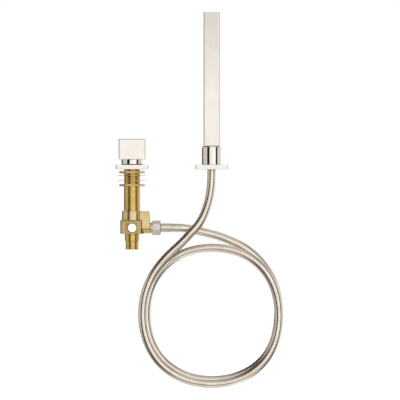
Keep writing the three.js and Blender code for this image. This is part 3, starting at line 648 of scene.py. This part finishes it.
slotFinish = {
    "nickel": nickel, "brass": turnedBrass, "washer_steel": washerSteel, "screw_steel": screwSteel,
    "ferrule_steel": fittingNickel, "hose_steel": hoseNickel, "seal_rubber": sealRubber,
    "cartridge_plastic": cartridgePlastic, "liner_plastic": linerPlastic,
    "nozzle_silicone": nozzleRubber, "disc_ceramic": discCeramic,
}
for part in frame["record"]["subparts"]:
    for materialSlot in cadNodes[part["node"]].material_slots:
        materialSlot.material = slotFinish[part["material_slot"]]

finishPiece(showerHose, hoseNickel, None, ["hose_feed_run", "hose_loops", "hose_rise_run"], 30)
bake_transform(showerHose)


# The pieces, in mm.

handleSpec = {"side": 44.2, "low": 16.4, "high": 49.6, "upright": 2.1, "topEdge": 1.9, "lowEdge": 0.4,
              "bore": 8.6, "boreTop": 39.4, "screwHole": 5.6, "screwHeight": 28.4}


def makeHandle():
    s = handleSpec
    half = s["side"] / 2
    piece = boxPiece("handleBlock", (-half, -half, s["low"]), (half, half, s["high"]))
    roundWhere(piece, s["upright"], upright)
    roundWhere(piece, s["topEdge"], lyingAt(s["high"]))
    roundWhere(piece, s["lowEdge"], lyingAt(s["low"]), 3)
    cutOut(piece, rodPiece("bore", s["bore"], s["low"] - past, s["boreTop"], 48))
    hole = rodPiece("screwHole", s["screwHole"], 0, s["side"], 32)
    cutOut(piece, layAlongY(hole, s["screwHeight"]))
    paintLitFlats(finishPiece(piece, nickel, "handle", ["handle_block"]), litFlatNickel)


makeHandle()

sleeveSpec = {"outside": 17.4, "inside": 13.5, "hole": 4.4, "low": 7.5, "high": 16.0, "web": 14.2,
              "edge": 0.15, "shadeBand": 8.6, "shadeBandInset": 0.35}


def makeSleeve():
    s = sleeveSpec
    shadeBandOutside = s["outside"] - s["shadeBandInset"]
    piece = turnPiece("trimSleeve", [
        (s["inside"], s["low"]), (shadeBandOutside, s["low"]), (shadeBandOutside, s["shadeBand"]), (s["outside"], s["shadeBand"]),
        (s["outside"], s["high"]), (s["hole"], s["high"]), (s["hole"], s["web"]), (s["inside"], s["web"])])
    softenEdges(piece, s["edge"])
    finishPiece(piece, nickel, "root", ["trim_sleeve"])
    shadeBandTop = (s["shadeBand"] - hair) * mm  # of the black band under the sleeve, painted shade for the gap above the flange
    # the band under the sleeve takes black rubber as painted shade
    addFinishesAndShade(piece, [sealRubber], lambda face: face.center.z < shadeBandTop)


makeSleeve()

flangeSpec = {"side": 53.5, "high": 7.2, "plate": 2.6, "edge": 0.3, "corner": 2.2}


def makeFlange(name, x, hollow, hole, replaced):
    s = flangeSpec
    half = s["side"] / 2
    piece = boxPiece(name, (x - half, -half, 0), (x + half, half, s["high"]))
    roundWhere(piece, s["corner"], upright)
    softenEdges(piece, s["edge"], 3)
    cutOut(piece, rodPiece("hollow", hollow, -past, s["high"] - s["plate"], 96, (x, 0)))
    cutOut(piece, rodPiece("hole", hole, -past, s["high"] + past, 96, (x, 0)))
    paintLitFlats(finishPiece(piece, nickel, "root", [replaced]), litFlatNickel)


makeFlange("valveFlange", 0, 48, 27.04, "valve_escutcheon")


shankSpec = {"outside": 26.4, "root": 25.4, "bore": 20, "spigot": 23.8, "top": 13.9, "threadEnd": -28.2,
             "shoulder": -67.9, "spigotEnd": -75.4, "pitch": 1.814, "depth": 0.5,
             "coreInset": 0.05, "plainProud": 0.02, "runOut": 0.5, "threadUnder": 0.6, "lead": 0.8}


def makeShank():
    s = shankSpec
    core = s["root"] / 2 - s["coreInset"]
    plain = s["outside"] / 2 + s["plainProud"]
    spigot = s["spigot"] / 2
    piece = turnPiece("shank", [
        (0, s["spigotEnd"]), (spigot, s["spigotEnd"]), (spigot, s["shoulder"]), (plain, s["shoulder"]),
        (plain, s["threadEnd"]), (core, s["threadEnd"] + s["runOut"]), (core, s["top"]), (0, s["top"])])
    joinOn(piece, threadPiece("thread", s["outside"], s["depth"], s["pitch"],
                              s["threadEnd"] - s["threadUnder"], s["top"] - s["lead"], 72))
    cutOut(piece, rodPiece("bore", s["bore"], s["spigotEnd"] - past, s["top"] + past))
    finishPiece(piece, turnedBrass, "root", ["threaded_shank"], 30)


makeShank()

nutSpec = {"corners": 42.4, "thickness": 3.5, "hole": 27.04, "upper": -3.1, "lower": -24.3, "edge": 0.12,
           "chamfer": (2.5, 0.66), "clear": 0.1, "mouth": 1.6, "mouthDepth": 0.6}


def hexNut(name, top, body, replaced):
    s = nutSpec
    low = top - s["thickness"]
    piece = rodPiece(name, s["corners"], low, top, 6)
    piece.rotation_euler = (0, 0, math.pi / 6)
    placeInMesh(piece)
    chamferEnds(piece, s["corners"] / 2 + s["clear"], low, top, s["chamfer"], s["chamfer"])
    hole, mouth = s["hole"] / 2, s["hole"] / 2 + s["mouth"]
    cutOut(piece, turnPiece("bore", [
        (0, low - justPast), (mouth, low - justPast), (hole, low + s["mouthDepth"]),
        (hole, top - s["mouthDepth"]), (mouth, top + justPast), (0, top + justPast)], 72))
    softenEdges(piece, s["edge"])
    finishPiece(piece, nutBrass, body, [replaced])


hexNut("upperNut", nutSpec["upper"], "root", "upper_locknut")
hexNut("lowerNut", nutSpec["lower"], "deck_clamp", "lower_locknut")

washerSpec = {"outside": 23, "inside": 13.52, "thickness": 0.8, "edge": 0.25, "upper": -9.7, "lower": -17.6}


def thinWasher(name, top, body, replaced):
    s = washerSpec
    piece = turnPiece(name, ringOutline(s["inside"], s["outside"], top - s["thickness"], top))
    softenEdges(piece, s["edge"], 3)
    finishPiece(piece, washerSteel, body, [replaced])


thinWasher("upperWasher", washerSpec["upper"], "root", "upper_washer")
thinWasher("lowerWasher", washerSpec["lower"], "deck_clamp", "lower_washer")
print("valve trim, shank and clamping nuts made")


bodySpec = {
    "left": -19, "right": 16.3, "depth": 35.3, "blockTop": -83.1, "blockLow": -105.8,
    "corner": 2.4, "edge": 1.1,
    # diameter, low, high and edge
    "rods": {"collar": (33, -86.1, -68.2, 0.7), "inletBoss": (23.3, -117.6, -102.8, 0.4)},
    "lobe": [(2, -98), (29.7, -98), (29.7, -86.7), (28.7, -77.8), (28.1, -68.9), (2, -68.9)],
    "lobeThick": 22.2, "lobeEdge": 1.4,
    "shadowWedge": [(16.2, -95.5), (19.2, -105.4), (16.2, -105.4)], "shadowWedgeThick": 29,
    "shadeLineAt": 12.2, "shadeLineWide": 1.4, "shadeLineDeep": 0.6, "shadeLineTop": -69.4,
    # diameter, low and high
    "bores": {"spigotHole": (24.4, -75.7, -66.2), "chamber": (22, -85.9, -66.2),
              "waterWay": (13, -119.6, -80), "tailHole": (18.6, -119.6, -108.6)},
}
# the port that goes through the block from front to back
portSpec = {"axis": -96.1, "bore": 14.6, "mouth": 16.6, "flare": 1, "facing": 21.4, "proud": 0.6,
            "facingEdge": 0.5, "threadDepth": 0.65, "threadPitch": 1.337, "crest": 0.67, "lastTurn": 1.4}
# along X
outletSpec = {"start": 2, "boss": 18.6, "bossEnd": 29.7, "bossEdge": 0.5, "neck": 17.4, "neckEnd": 33.5,
              "lead": 0.9, "core": 19, "end": 39.9, "bore": 10, "boreStart": 18,
              "thread": 20.9, "threadDepth": 1.1, "pitch": 1.814, "threadInset": 0.3}
# finishes of the body; the block, dark and facing ones are painted shade
bodyFinishesAndShade = {"cast": castBrass, "block": shadedBlockBrass, "turned": turnedBrass, "dark": paintedShadeBrass,
                "facing": shadedFacingBrass}
# where one finish or painted shade of the body ends
bodyMarks = {"slanted": 0.98, "facesDown": -0.3, "slack": 0.1, "underFacing": 1, "besideLobe": 0.05,
             "lobeEdgeX": 26, "lobeEdgeY": 9, "lobeSlant": (0.2, 0.85)}


def portCutter():
    s = portSpec
    half = bodySpec["depth"] / 2 + s["proud"]
    bore, mouth = s["bore"] / 2, s["mouth"] / 2
    z = -half + mouth - bore
    last = half - (mouth - bore)
    outline = [(0, -half - s["flare"]), (mouth + s["flare"], -half - s["flare"]), (bore, z)]
    while z < last - s["lastTurn"]:
        outline += [(bore + s["threadDepth"], z + s["crest"]), (bore, z + s["threadPitch"])]
        z += s["threadPitch"]
    outline += [(bore, last), (mouth + s["flare"], half + s["flare"]), (0, half + s["flare"])]
    return layAlongY(turnPiece("portCutter", outline, 64), s["axis"])


def outletPiece():
    s = outletSpec
    boss, neck, core = s["boss"] / 2, s["neck"] / 2, s["core"] / 2
    piece = turnPiece("outlet", [
        (0, s["start"]), (boss, s["start"]), (boss, s["bossEnd"] - s["bossEdge"]),
        (boss - s["bossEdge"], s["bossEnd"]), (neck, s["bossEnd"]), (neck, s["neckEnd"]),
        (core, s["neckEnd"] + s["lead"]), (core, s["end"]), (0, s["end"])])
    return layAlongX(piece, portSpec["axis"])


def bodyFinishOrShadeOf(face):
    s, marks = bodySpec, bodyMarks
    x, y, z = face.center / mm
    slanted = max(abs(n) for n in face.normal) < marks["slanted"]
    onFacing = math.hypot(x, z - portSpec["axis"]) < portSpec["facing"] / 2
    # round the port, the ring takes painted shade and the slanted faces of its mouth near-black painted shade
    if onFacing and abs(y) > s["depth"] / 2 - marks["underFacing"]:
        return "dark" if slanted else "facing"
    # the block's faces take the darker copy of the brass, painted shade
    besideBlock = x < s["right"] + marks["slack"]
    if besideBlock and s["blockLow"] - marks["slack"] < z < s["blockTop"] + marks["slack"]:
        # slanted faces at the block's edges, except those facing down, take near-black painted shade as dark
        # outlines
        nearEdge = (x < s["left"] + s["corner"] or x > s["right"] - s["corner"]
                    or z > s["blockTop"] - s["edge"])
        return "dark" if slanted and nearEdge and face.normal.z > marks["facesDown"] else "block"
    if z < s["blockLow"]:
        return "turned"
    lobeSide = s["lobeThick"] / 2
    # a shallow groove where the collar meets the lobe, painted near-black as crease shade
    inShadeLine = (abs(x - s["shadeLineAt"]) < s["shadeLineWide"] / 2 + hair
              and lobeSide - s["shadeLineDeep"] - hair < abs(y) < lobeSide)
    # the wedge beside the block's lower corner takes painted shadow
    inShadowWedge = x < s["shadowWedge"][1][0] and abs(y) > lobeSide + marks["besideLobe"] and z < s["shadowWedge"][0][1]
    leastSlant, mostSlant = marks["lobeSlant"]
    # the lobe's slanted corner faces by the boss take painted shade
    shadedLobeCorner = (slanted and x > marks["lobeEdgeX"] and abs(y) > marks["lobeEdgeY"]
                  and leastSlant < face.normal.x < mostSlant)
    return "dark" if inShadeLine or inShadowWedge or shadedLobeCorner else "cast"


def makeValveBody():
    s, port, outlet = bodySpec, portSpec, outletSpec
    half = s["depth"] / 2
    piece = boxPiece("valveBody", (s["left"], -half, s["blockLow"]), (s["right"], half, s["blockTop"]))
    roundWhere(piece, s["corner"], upright)
    softenEdges(piece, s["edge"], 3)
    facing = rodPiece("facing", port["facing"], -half - port["proud"], half + port["proud"], 96)
    joinOn(piece, layAlongY(softenEdges(facing, port["facingEdge"], 3), port["axis"]))
    for name, (diameter, low, high, edge) in s["rods"].items():
        joinOn(piece, softenEdges(rodPiece(name, diameter, low, high, 96), edge, 3))
    joinOn(piece, softenEdges(slabPiece("lobe", s["lobe"], s["lobeThick"]), s["lobeEdge"], 4))
    # a wedge beside the block's lower corner that carries painted shadow
    joinOn(piece, slabPiece("shadowWedge", s["shadowWedge"], s["shadowWedgeThick"]))
    # a shallow groove along the line where the collar meets the lobe, to carry painted shade
    for side in (-1, 1):
        outer = side * s["lobeThick"] / 2
        near, far = sorted((outer - side * s["shadeLineDeep"], outer + side * past))
        cutOut(piece, boxPiece("shadeLine", (s["shadeLineAt"] - s["shadeLineWide"] / 2, near, s["blockTop"]),
                               (s["shadeLineAt"] + s["shadeLineWide"] / 2, far, s["shadeLineTop"])))
    joinOn(piece, outletPiece())
    thread = threadPiece("outletThread", outlet["thread"], outlet["threadDepth"], outlet["pitch"],
                         outlet["neckEnd"] + outlet["threadInset"], outlet["end"] - outlet["threadInset"])
    joinOn(piece, layAlongX(thread, port["axis"]))
    for name, bore in s["bores"].items():
        cutOut(piece, rodPiece(name, *bore))
    outletWay = rodPiece("outletWay", outlet["bore"], outlet["boreStart"], outlet["end"] + past)
    cutOut(piece, layAlongX(outletWay, port["axis"]))
    cutOut(piece, portCutter())
    finishPiece(piece, castBrass, "root", ["valve_body"], 30)
    names = list(bodyFinishesAndShade)
    addFinishesAndShade(piece, list(bodyFinishesAndShade.values())[1:], lambda face: names.index(bodyFinishOrShadeOf(face)))


makeValveBody()

stubSpec = {"spigot": 9, "spigotTop": -108.9, "top": -117.9, "outside": 10.45, "end": -131.5, "chamfer": 0.7,
            "bore": 6.5, "edge": 0.25}


def makeInletStub():
    s = stubSpec
    piece = turnPiece("inletStub", [
        (s["bore"], s["end"]), (s["outside"] - s["chamfer"], s["end"]),
        (s["outside"], s["end"] + s["chamfer"]), (s["outside"], s["top"]), (s["spigot"], s["top"]),
        (s["spigot"], s["spigotTop"]), (s["bore"], s["spigotTop"])])
    softenEdges(piece, s["edge"], angle=30)
    finishPiece(piece, turnedBrass, "root", ["inlet_nipple"], 30)


makeInletStub()
print("valve body and inlet made")


hoseNutSpec = {"flats": 23.2, "sides": 8, "start": 33.1, "end": 46.9, "twist": -7, "clear": 0.05,
               "startChamfer": (1.0, 0.9), "endChamfer": (1.9, 1.2), "thread": 21.55, "back": 44.9,
               "neckHole": 12.8, "edge": 0.35, "shadedEdgeArea": 1e-5}


def makeHoseNut():
    s = hoseNutSpec
    start, end = s["start"], s["end"]
    corners = s["flats"] / math.cos(math.pi / s["sides"])
    piece = rodPiece("hoseNut", corners, start, end, s["sides"])
    piece.rotation_euler = (0, 0, math.pi / s["sides"] + math.radians(s["twist"]))
    placeInMesh(piece)
    chamferEnds(piece, corners / 2 + s["clear"], start, end, s["startChamfer"], s["endChamfer"])
    thread, neckHole = s["thread"] / 2, s["neckHole"] / 2
    cutOut(piece, turnPiece("bore", [
        (0, start - justPast), (thread, start - justPast), (thread, s["back"]),
        (neckHole, s["back"]), (neckHole, end + justPast), (0, end + justPast)], 64))
    softenEdges(piece, s["edge"])
    layAlongX(piece, portSpec["axis"])
    finishPiece(piece, fittingNickel, "root", ["hose_nut"])
    # the nut's small bevel faces get painted shade
    addFinishesAndShade(piece, [nutEdgeShade], lambda face: face.area < s["shadedEdgeArea"])


makeHoseNut()

ferruleSpec = {"barrel": 7.3, "flange": 10.17, "neck": 6, "bore": 4, "socket": 7.08, "socketDepth": 7,
               "chamfer": 0.5, "rimInset": 0.2, "rimLong": 0.25, "edge": 0.12}
valveFerruleSpec = {"low": 42.5, "flangeHigh": 44.5, "neckEnd": 47.2, "end": 63.7}  # along X


def makeValveFerrule():
    s, at = ferruleSpec, valveFerruleSpec
    barrel, end = s["barrel"], at["end"]
    piece = turnPiece("valveFerrule", [
        (s["bore"], at["low"]), (s["flange"], at["low"]), (s["flange"], at["flangeHigh"]),
        (s["neck"], at["flangeHigh"]), (s["neck"], at["neckEnd"]), (barrel - s["chamfer"], at["neckEnd"]),
        (barrel, at["neckEnd"] + s["chamfer"]), (barrel, end - s["rimLong"]), (barrel - s["rimInset"], end),
        (s["socket"], end), (s["socket"], end - s["socketDepth"]), (s["bore"], end - s["socketDepth"])])
    softenEdges(piece, s["edge"])
    layAlongX(piece, portSpec["axis"])
    finishPiece(piece, hoseNickel, "root", ["valve_end_ferrule"])


makeValveFerrule()

showerX = 130.5


def shiftToShower(piece):
    piece.location = (showerX * mm, 0, 0)
    return placeInMesh(piece)


makeFlange("holderFlange", showerX, 42, 28, "holder_escutcheon")

holderSpec = {"outside": 15.8, "bore": 12.4, "tail": 13.7, "lip": 10.8, "low": 7.5, "high": 38, "round": 2.6,
              "roundPoints": 9, "tailEnd": 0.6, "lipTop": 1.8, "edge": 0.2}


def makeHolder():
    s = holderSpec
    shoulder = [(s["outside"] - s["round"] * (1 - math.cos(a)), s["high"] - s["round"] * (1 - math.sin(a)))
                for a in np.linspace(0, math.pi / 2, s["roundPoints"])]
    piece = turnPiece("holderCollar", [
        (s["lip"], s["tailEnd"]), (s["tail"], s["tailEnd"]), (s["tail"], s["low"]), (s["outside"], s["low"]),
        *shoulder, (s["bore"], s["high"]), (s["bore"], s["lipTop"]), (s["lip"], s["lipTop"])], 128)
    softenEdges(piece, s["edge"], angle=40)
    finishPiece(shiftToShower(piece), nickel, "root", ["holder_collar"], 40)


makeHolder()

ringNutSpec = {"outside": 17.6, "inside": 14, "low": 1.0, "high": 4.3, "edge": 0.25,
               "notches": 6, "notchDeep": 1.2, "notchWide": 3.6}


def makeRingNut():
    s = ringNutSpec
    piece = turnPiece("ringNut", ringOutline(s["inside"], s["outside"], s["low"], s["high"]))
    for k in range(s["notches"]):
        notch = boxPiece("notch", (s["outside"] - s["notchDeep"], -s["notchWide"] / 2, s["low"] - justPast),
                         (s["outside"] + past, s["notchWide"] / 2, s["high"] + justPast))
        notch.rotation_euler = (0, 0, 2 * math.pi * k / s["notches"])
        cutOut(piece, placeInMesh(notch))
    softenEdges(piece, s["edge"])
    finishPiece(shiftToShower(piece), nutBrass, "root", ["holder_ring_nut"])


makeRingNut()

coneSpec = {"low": 4.5, "taper": 17.5, "high": 38.0, "tip": 9, "wide": 12, "thread": 10.78, "tail": 7.7,
            "shoulder": 23.5, "edge": 0.3}
linerSpec = {"outside": 12.1, "low": 2.1, "high": 15.9, "gap": 0.4, "edge": 0.2}


def coneAt(height):
    s = coneSpec
    share = min(max((height - s["low"]) / s["taper"], 0), 1)
    return s["tip"] + (s["wide"] - s["tip"]) * share


def makeLiner():
    s = linerSpec
    foot, top, coneStart = ((coneAt(z) + s["gap"], z) for z in (s["low"], s["high"], coneSpec["low"]))
    piece = turnPiece("holderLiner", [
        foot, (s["outside"], s["low"]), (s["outside"], s["high"]), top, coneStart], 64)
    softenEdges(piece, s["edge"])
    finishPiece(shiftToShower(piece), linerPlastic, "root", ["holder_liner"])


makeLiner()


def makeConeNut():
    s = coneSpec
    piece = turnPiece("coneNut", [
        (s["tail"], s["low"]), (s["tip"], s["low"]), (s["wide"], s["low"] + s["taper"]),
        (s["wide"], s["high"]), (s["thread"], s["high"]), (s["thread"], s["shoulder"]),
        (s["tail"], s["shoulder"])])
    softenEdges(piece, s["edge"], 3)
    finishPiece(shiftToShower(piece), nickel, "wand", ["cone_nut"])


makeConeNut()

wandFerruleSpec = {"low": 4.3, "barrelTop": 23.8, "top": 25.8}


def makeWandFerrule():
    s, at = ferruleSpec, wandFerruleSpec
    socketTop = at["low"] + s["socketDepth"]
    piece = turnPiece("wandFerrule", [
        (s["socket"], at["low"]), (s["barrel"] - s["rimInset"], at["low"]),
        (s["barrel"], at["low"] + s["rimLong"]), (s["barrel"], at["barrelTop"]),
        (s["flange"], at["barrelTop"]), (s["flange"], at["top"]), (s["bore"], at["top"]),
        (s["bore"], socketTop), (s["socket"], socketTop)])
    softenEdges(piece, s["edge"])
    finishPiece(shiftToShower(piece), fittingNickel, "hose_end", ["wand_end_ferrule"])


makeWandFerrule()

wandSpec = {"side": 27, "low": 38.3, "high": 257.5, "wall": 2.2, "upright": 2.2, "edge": 0.6,
            "window": (17, 56), "windowMiddle": 217.5, "windowCut": (0, 20)}


def windowPiece(name, width, height, back, front):
    middle = wandSpec["windowMiddle"]
    return boxPiece(name, (showerX - width / 2, back, middle - height / 2),
                    (showerX + width / 2, front, middle + height / 2))


def makeWand():
    s = wandSpec
    half = s["side"] / 2
    piece = boxPiece("wandShell", (showerX - half, -half, s["low"]), (showerX + half, half, s["high"]))
    roundWhere(piece, s["upright"], upright)
    softenEdges(piece, s["edge"], 3)
    inner = half - s["wall"]
    cutOut(piece, boxPiece("hollow", (showerX - inner, -inner, s["low"] - past),
                           (showerX + inner, inner, s["high"] - s["wall"])))
    cutOut(piece, windowPiece("window", *s["window"], *s["windowCut"]))
    paintLitFlats(finishPiece(piece, nickel, "wand", ["wand_shell"]), wandLitShadedNickel)


makeWand()

spraySpec = {"gap": 0.3, "plate": (11.6, 13.4), "mat": (9.4, 11.0), "matMargin": 1.6, "edge": 0.3,
             "columns": 3, "rows": 8, "columnPitch": 5, "rowPitch": 6.4, "hole": 2.6, "holeCut": (10, 15)}
nozzleSpec = {"width": 2.0, "root": 10.4, "rootWider": 0.15, "tip": 14.0, "tipInset": 0.25, "tipLong": 0.3,
              "jet": 0.4, "jetDepth": 1.2}


def nozzlePlaces():
    s = spraySpec
    return [(showerX + (c - (s["columns"] - 1) / 2) * s["columnPitch"],
             wandSpec["windowMiddle"] + (r - (s["rows"] - 1) / 2) * s["rowPitch"])
            for r in range(s["rows"]) for c in range(s["columns"])]


def makeSprayPlate():
    s = spraySpec
    width, height = wandSpec["window"]
    piece = windowPiece("sprayPlate", width - 2 * s["gap"], height - 2 * s["gap"], *s["plate"])
    softenEdges(piece, s["edge"])
    for x, z in nozzlePlaces():
        cutOut(piece, layAlongY(rodPiece("hole", s["hole"], *s["holeCut"], 24), z, x))
    finishPiece(piece, nickel, "wand", ["spray_plate"])


def nozzleModel():
    s = nozzleSpec
    radius, tip, jetEnd = s["width"] / 2, s["tip"], s["tip"] - s["jetDepth"]
    return turnPiece("nozzle", [
        (0, s["root"]), (radius + s["rootWider"], s["root"]), (radius, tip - s["tipLong"]),
        (radius - s["tipInset"], tip), (s["jet"], tip), (s["jet"], jetEnd), (0, jetEnd)], 20)


def makeNozzleMat():
    s = spraySpec
    width, height = wandSpec["window"]
    piece = windowPiece("nozzleMat", width + 2 * s["matMargin"], height + 2 * s["matMargin"], *s["mat"])
    softenEdges(piece, s["edge"])
    model = nozzleModel()
    for x, z in nozzlePlaces():
        nozzle = model.copy()
        nozzle.data = model.data.copy()
        scene.collection.objects.link(nozzle)
        joinOn(piece, layAlongY(nozzle, z, x))
    bpy.data.objects.remove(model, do_unlink=True)
    finishPiece(piece, nozzleRubber, "wand", ["nozzle_mat"])


makeSprayPlate()
makeNozzleMat()
print("holder and wand made")


studio = {  # places and sizes in metres
    "floorAt": (0.11, 0.6, -0.368),
    "floorSize": 6,
    "floorGlow": 0.35,
    "aim": (0.1, 0, -0.05),
    "ambient": 0.85,
    "plain": 1.0,
    "cardTint": (0.96, 1.0, 1.08),  # dark cards are a warm brown
    # Cards round the object, placed by the slope of the metal that shows them from the front:
    # right, up, half width, half height, softness, brightness
    "cards": [
        (-1.0, 0.0, 0.5, 2.0, 0.2, 0.64), (1.0, 0.0, 0.46, 2.0, 0.15, 0.65), (1.0, 0.0, 0.22, 2.0, 0.6, 0.88),
        (-0.2, 0.0, 0.1, 0.5, 0.5, 0.82), (0.27, 0.0, 0.2, 0.4, 0.5, 1.12),
        (0.0, 0.7, 0.7, 0.4, 0.3, 0.62), (-0.25, 0.6, 0.16, 0.3, 0.5, 0.45),
        (-0.05, 0.88, 0.15, 0.14, 0.4, 0.34),
        (-0.25, -0.6, 0.35, 0.3, 0.4, 0.72), (-0.8, -0.47, 0.28, 0.28, 0.4, 0.42),
        (-0.25, -0.22, 0.27, 0.1, 0.6, 0.27), (0.26, -0.27, 0.36, 0.085, 0.5, 0.25),
        (-0.35, 0.15, 0.12, 0.62, 0.22, 0.01), (-0.47, 0.62, 0.22, 0.3, 0.25, 0.01),
        (-0.38, -0.34, 0.16, 0.17, 0.35, 0.08), (0.5, 0.0, 0.08, 0.8, 0.3, 0.01),
        (0.6, -0.5, 0.17, 0.22, 0.35, 0.18), (0.43, 0.43, 0.12, 0.18, 0.35, 0.4),
        (-0.94, 0.0, 0.065, 1.2, 0.3, 0.03),
    ],
}


def cardMask(tree, across, upward, card):
    right, up, halfWidth, halfHeight, softness = card[:5]
    sides = []
    for place, middle, half in ((across, right, halfWidth), (upward, up, halfHeight)):
        apart = mathNode(tree, "ABSOLUTE", mathNode(tree, "SUBTRACT", place, middle))
        sides.append(mathNode(tree, "DIVIDE", apart, half))
    edge = tree.nodes.new("ShaderNodeMapRange")
    edge.interpolation_type = "SMOOTHSTEP"
    limits = {"From Min": 1 - softness, "From Max": 1 + softness, "To Min": 1, "To Max": 0}
    for name, value in limits.items():
        edge.inputs[name].default_value = value
    tree.links.new(mathNode(tree, "MAXIMUM", *sides), edge.inputs["Value"])
    return edge.outputs["Result"]


def makeWorld():
    world = bpy.data.worlds.new("studio")
    scene.world = world
    world.use_nodes = True
    tree = world.node_tree
    coordinates = tree.nodes.new("ShaderNodeTexCoord")
    split = tree.nodes.new("ShaderNodeSeparateXYZ")
    tree.links.new(coordinates.outputs["Generated"], split.inputs[0])
    # the slope of the metal that turns a ray from the front this way
    facing = mathNode(tree, "MULTIPLY_ADD", split.outputs["Y"], -0.5, 0.5)
    spread = mathNode(tree, "MULTIPLY", mathNode(tree, "SQRT", mathNode(tree, "MAXIMUM", facing, 0.003)), 2.0)
    across = mathNode(tree, "DIVIDE", split.outputs["X"], spread)
    upward = mathNode(tree, "DIVIDE", split.outputs["Z"], spread)
    level = studio["plain"]
    for card in studio["cards"]:
        change = mathNode(tree, "SUBTRACT", card[5], level)
        level = mathNode(tree, "MULTIPLY_ADD", change, cardMask(tree, across, upward, card), level)
    rays = tree.nodes.new("ShaderNodeLightPath")
    glossyRay = rays.outputs["Is Glossy Ray"]
    seen = mathNode(tree, "MAXIMUM", rays.outputs["Is Camera Ray"], rays.outputs["Is Transmission Ray"])
    diffuse = mathNode(tree, "MULTIPLY", rays.outputs["Is Diffuse Ray"], studio["ambient"])
    plain = mathNode(tree, "MAXIMUM", seen, diffuse)
    tint = tree.nodes.new("ShaderNodeCombineColor")
    for socket, depth in zip(tint.inputs, studio["cardTint"]):
        glossy = mathNode(tree, "MULTIPLY", mathNode(tree, "POWER", level, depth), glossyRay)
        tree.links.new(mathNode(tree, "MAXIMUM", plain, glossy), socket)
    background = tree.nodes["Background"]
    background.inputs["Strength"].default_value = 1
    tree.links.new(tint.outputs["Color"], background.inputs["Color"])


makeWorld()


def makeFloor():
    deselectAll()
    bpy.ops.mesh.primitive_plane_add(size=studio["floorSize"], location=studio["floorAt"])
    floor = bpy.context.object
    floor.name = "floor"
    material, shader = newFinish("paleFloor", 0.0)
    shader.inputs["Base Color"].default_value = (0.9, 0.9, 0.9, 1)
    shader.inputs["Roughness"].default_value = 0.9
    tree = material.node_tree
    glow = tree.nodes.new("ShaderNodeEmission")
    rays = tree.nodes.new("ShaderNodeLightPath")
    strength = mathNode(tree, "MULTIPLY", rays.outputs["Is Camera Ray"], studio["floorGlow"])
    tree.links.new(strength, glow.inputs["Strength"])
    both = tree.nodes.new("ShaderNodeAddShader")
    tree.links.new(shader.outputs[0], both.inputs[0])
    tree.links.new(glow.outputs[0], both.inputs[1])
    tree.links.new(both.outputs[0], tree.nodes["Material Output"].inputs["Surface"])
    floor.data.materials.append(material)
    floor.visible_glossy = False  # so that metal shows the cards below it


makeFloor()

lamps = {  # place, size, power
    "key": ((1.5, -2.5, 1.1), 1.2, 14),
    "fill": ((-2.6, -1.0, 0.5), 1.2, 8),
    "top": ((0.1, 0.9, 2.4), 1.6, 14),
}
for name, (place, size, power) in lamps.items():
    deselectAll()
    bpy.ops.object.light_add(type="AREA", location=place)
    lamp = bpy.context.object
    lamp.name = name
    lamp.data.size = size
    lamp.data.energy = power
    lamp.visible_glossy = False  # metal shows the cards only
    towards = Vector(studio["aim"]) - Vector(place)
    lamp.rotation_euler = towards.to_track_quat("-Z", "Y").to_euler()

scene.view_settings.view_transform = "Standard"
print("studio set")
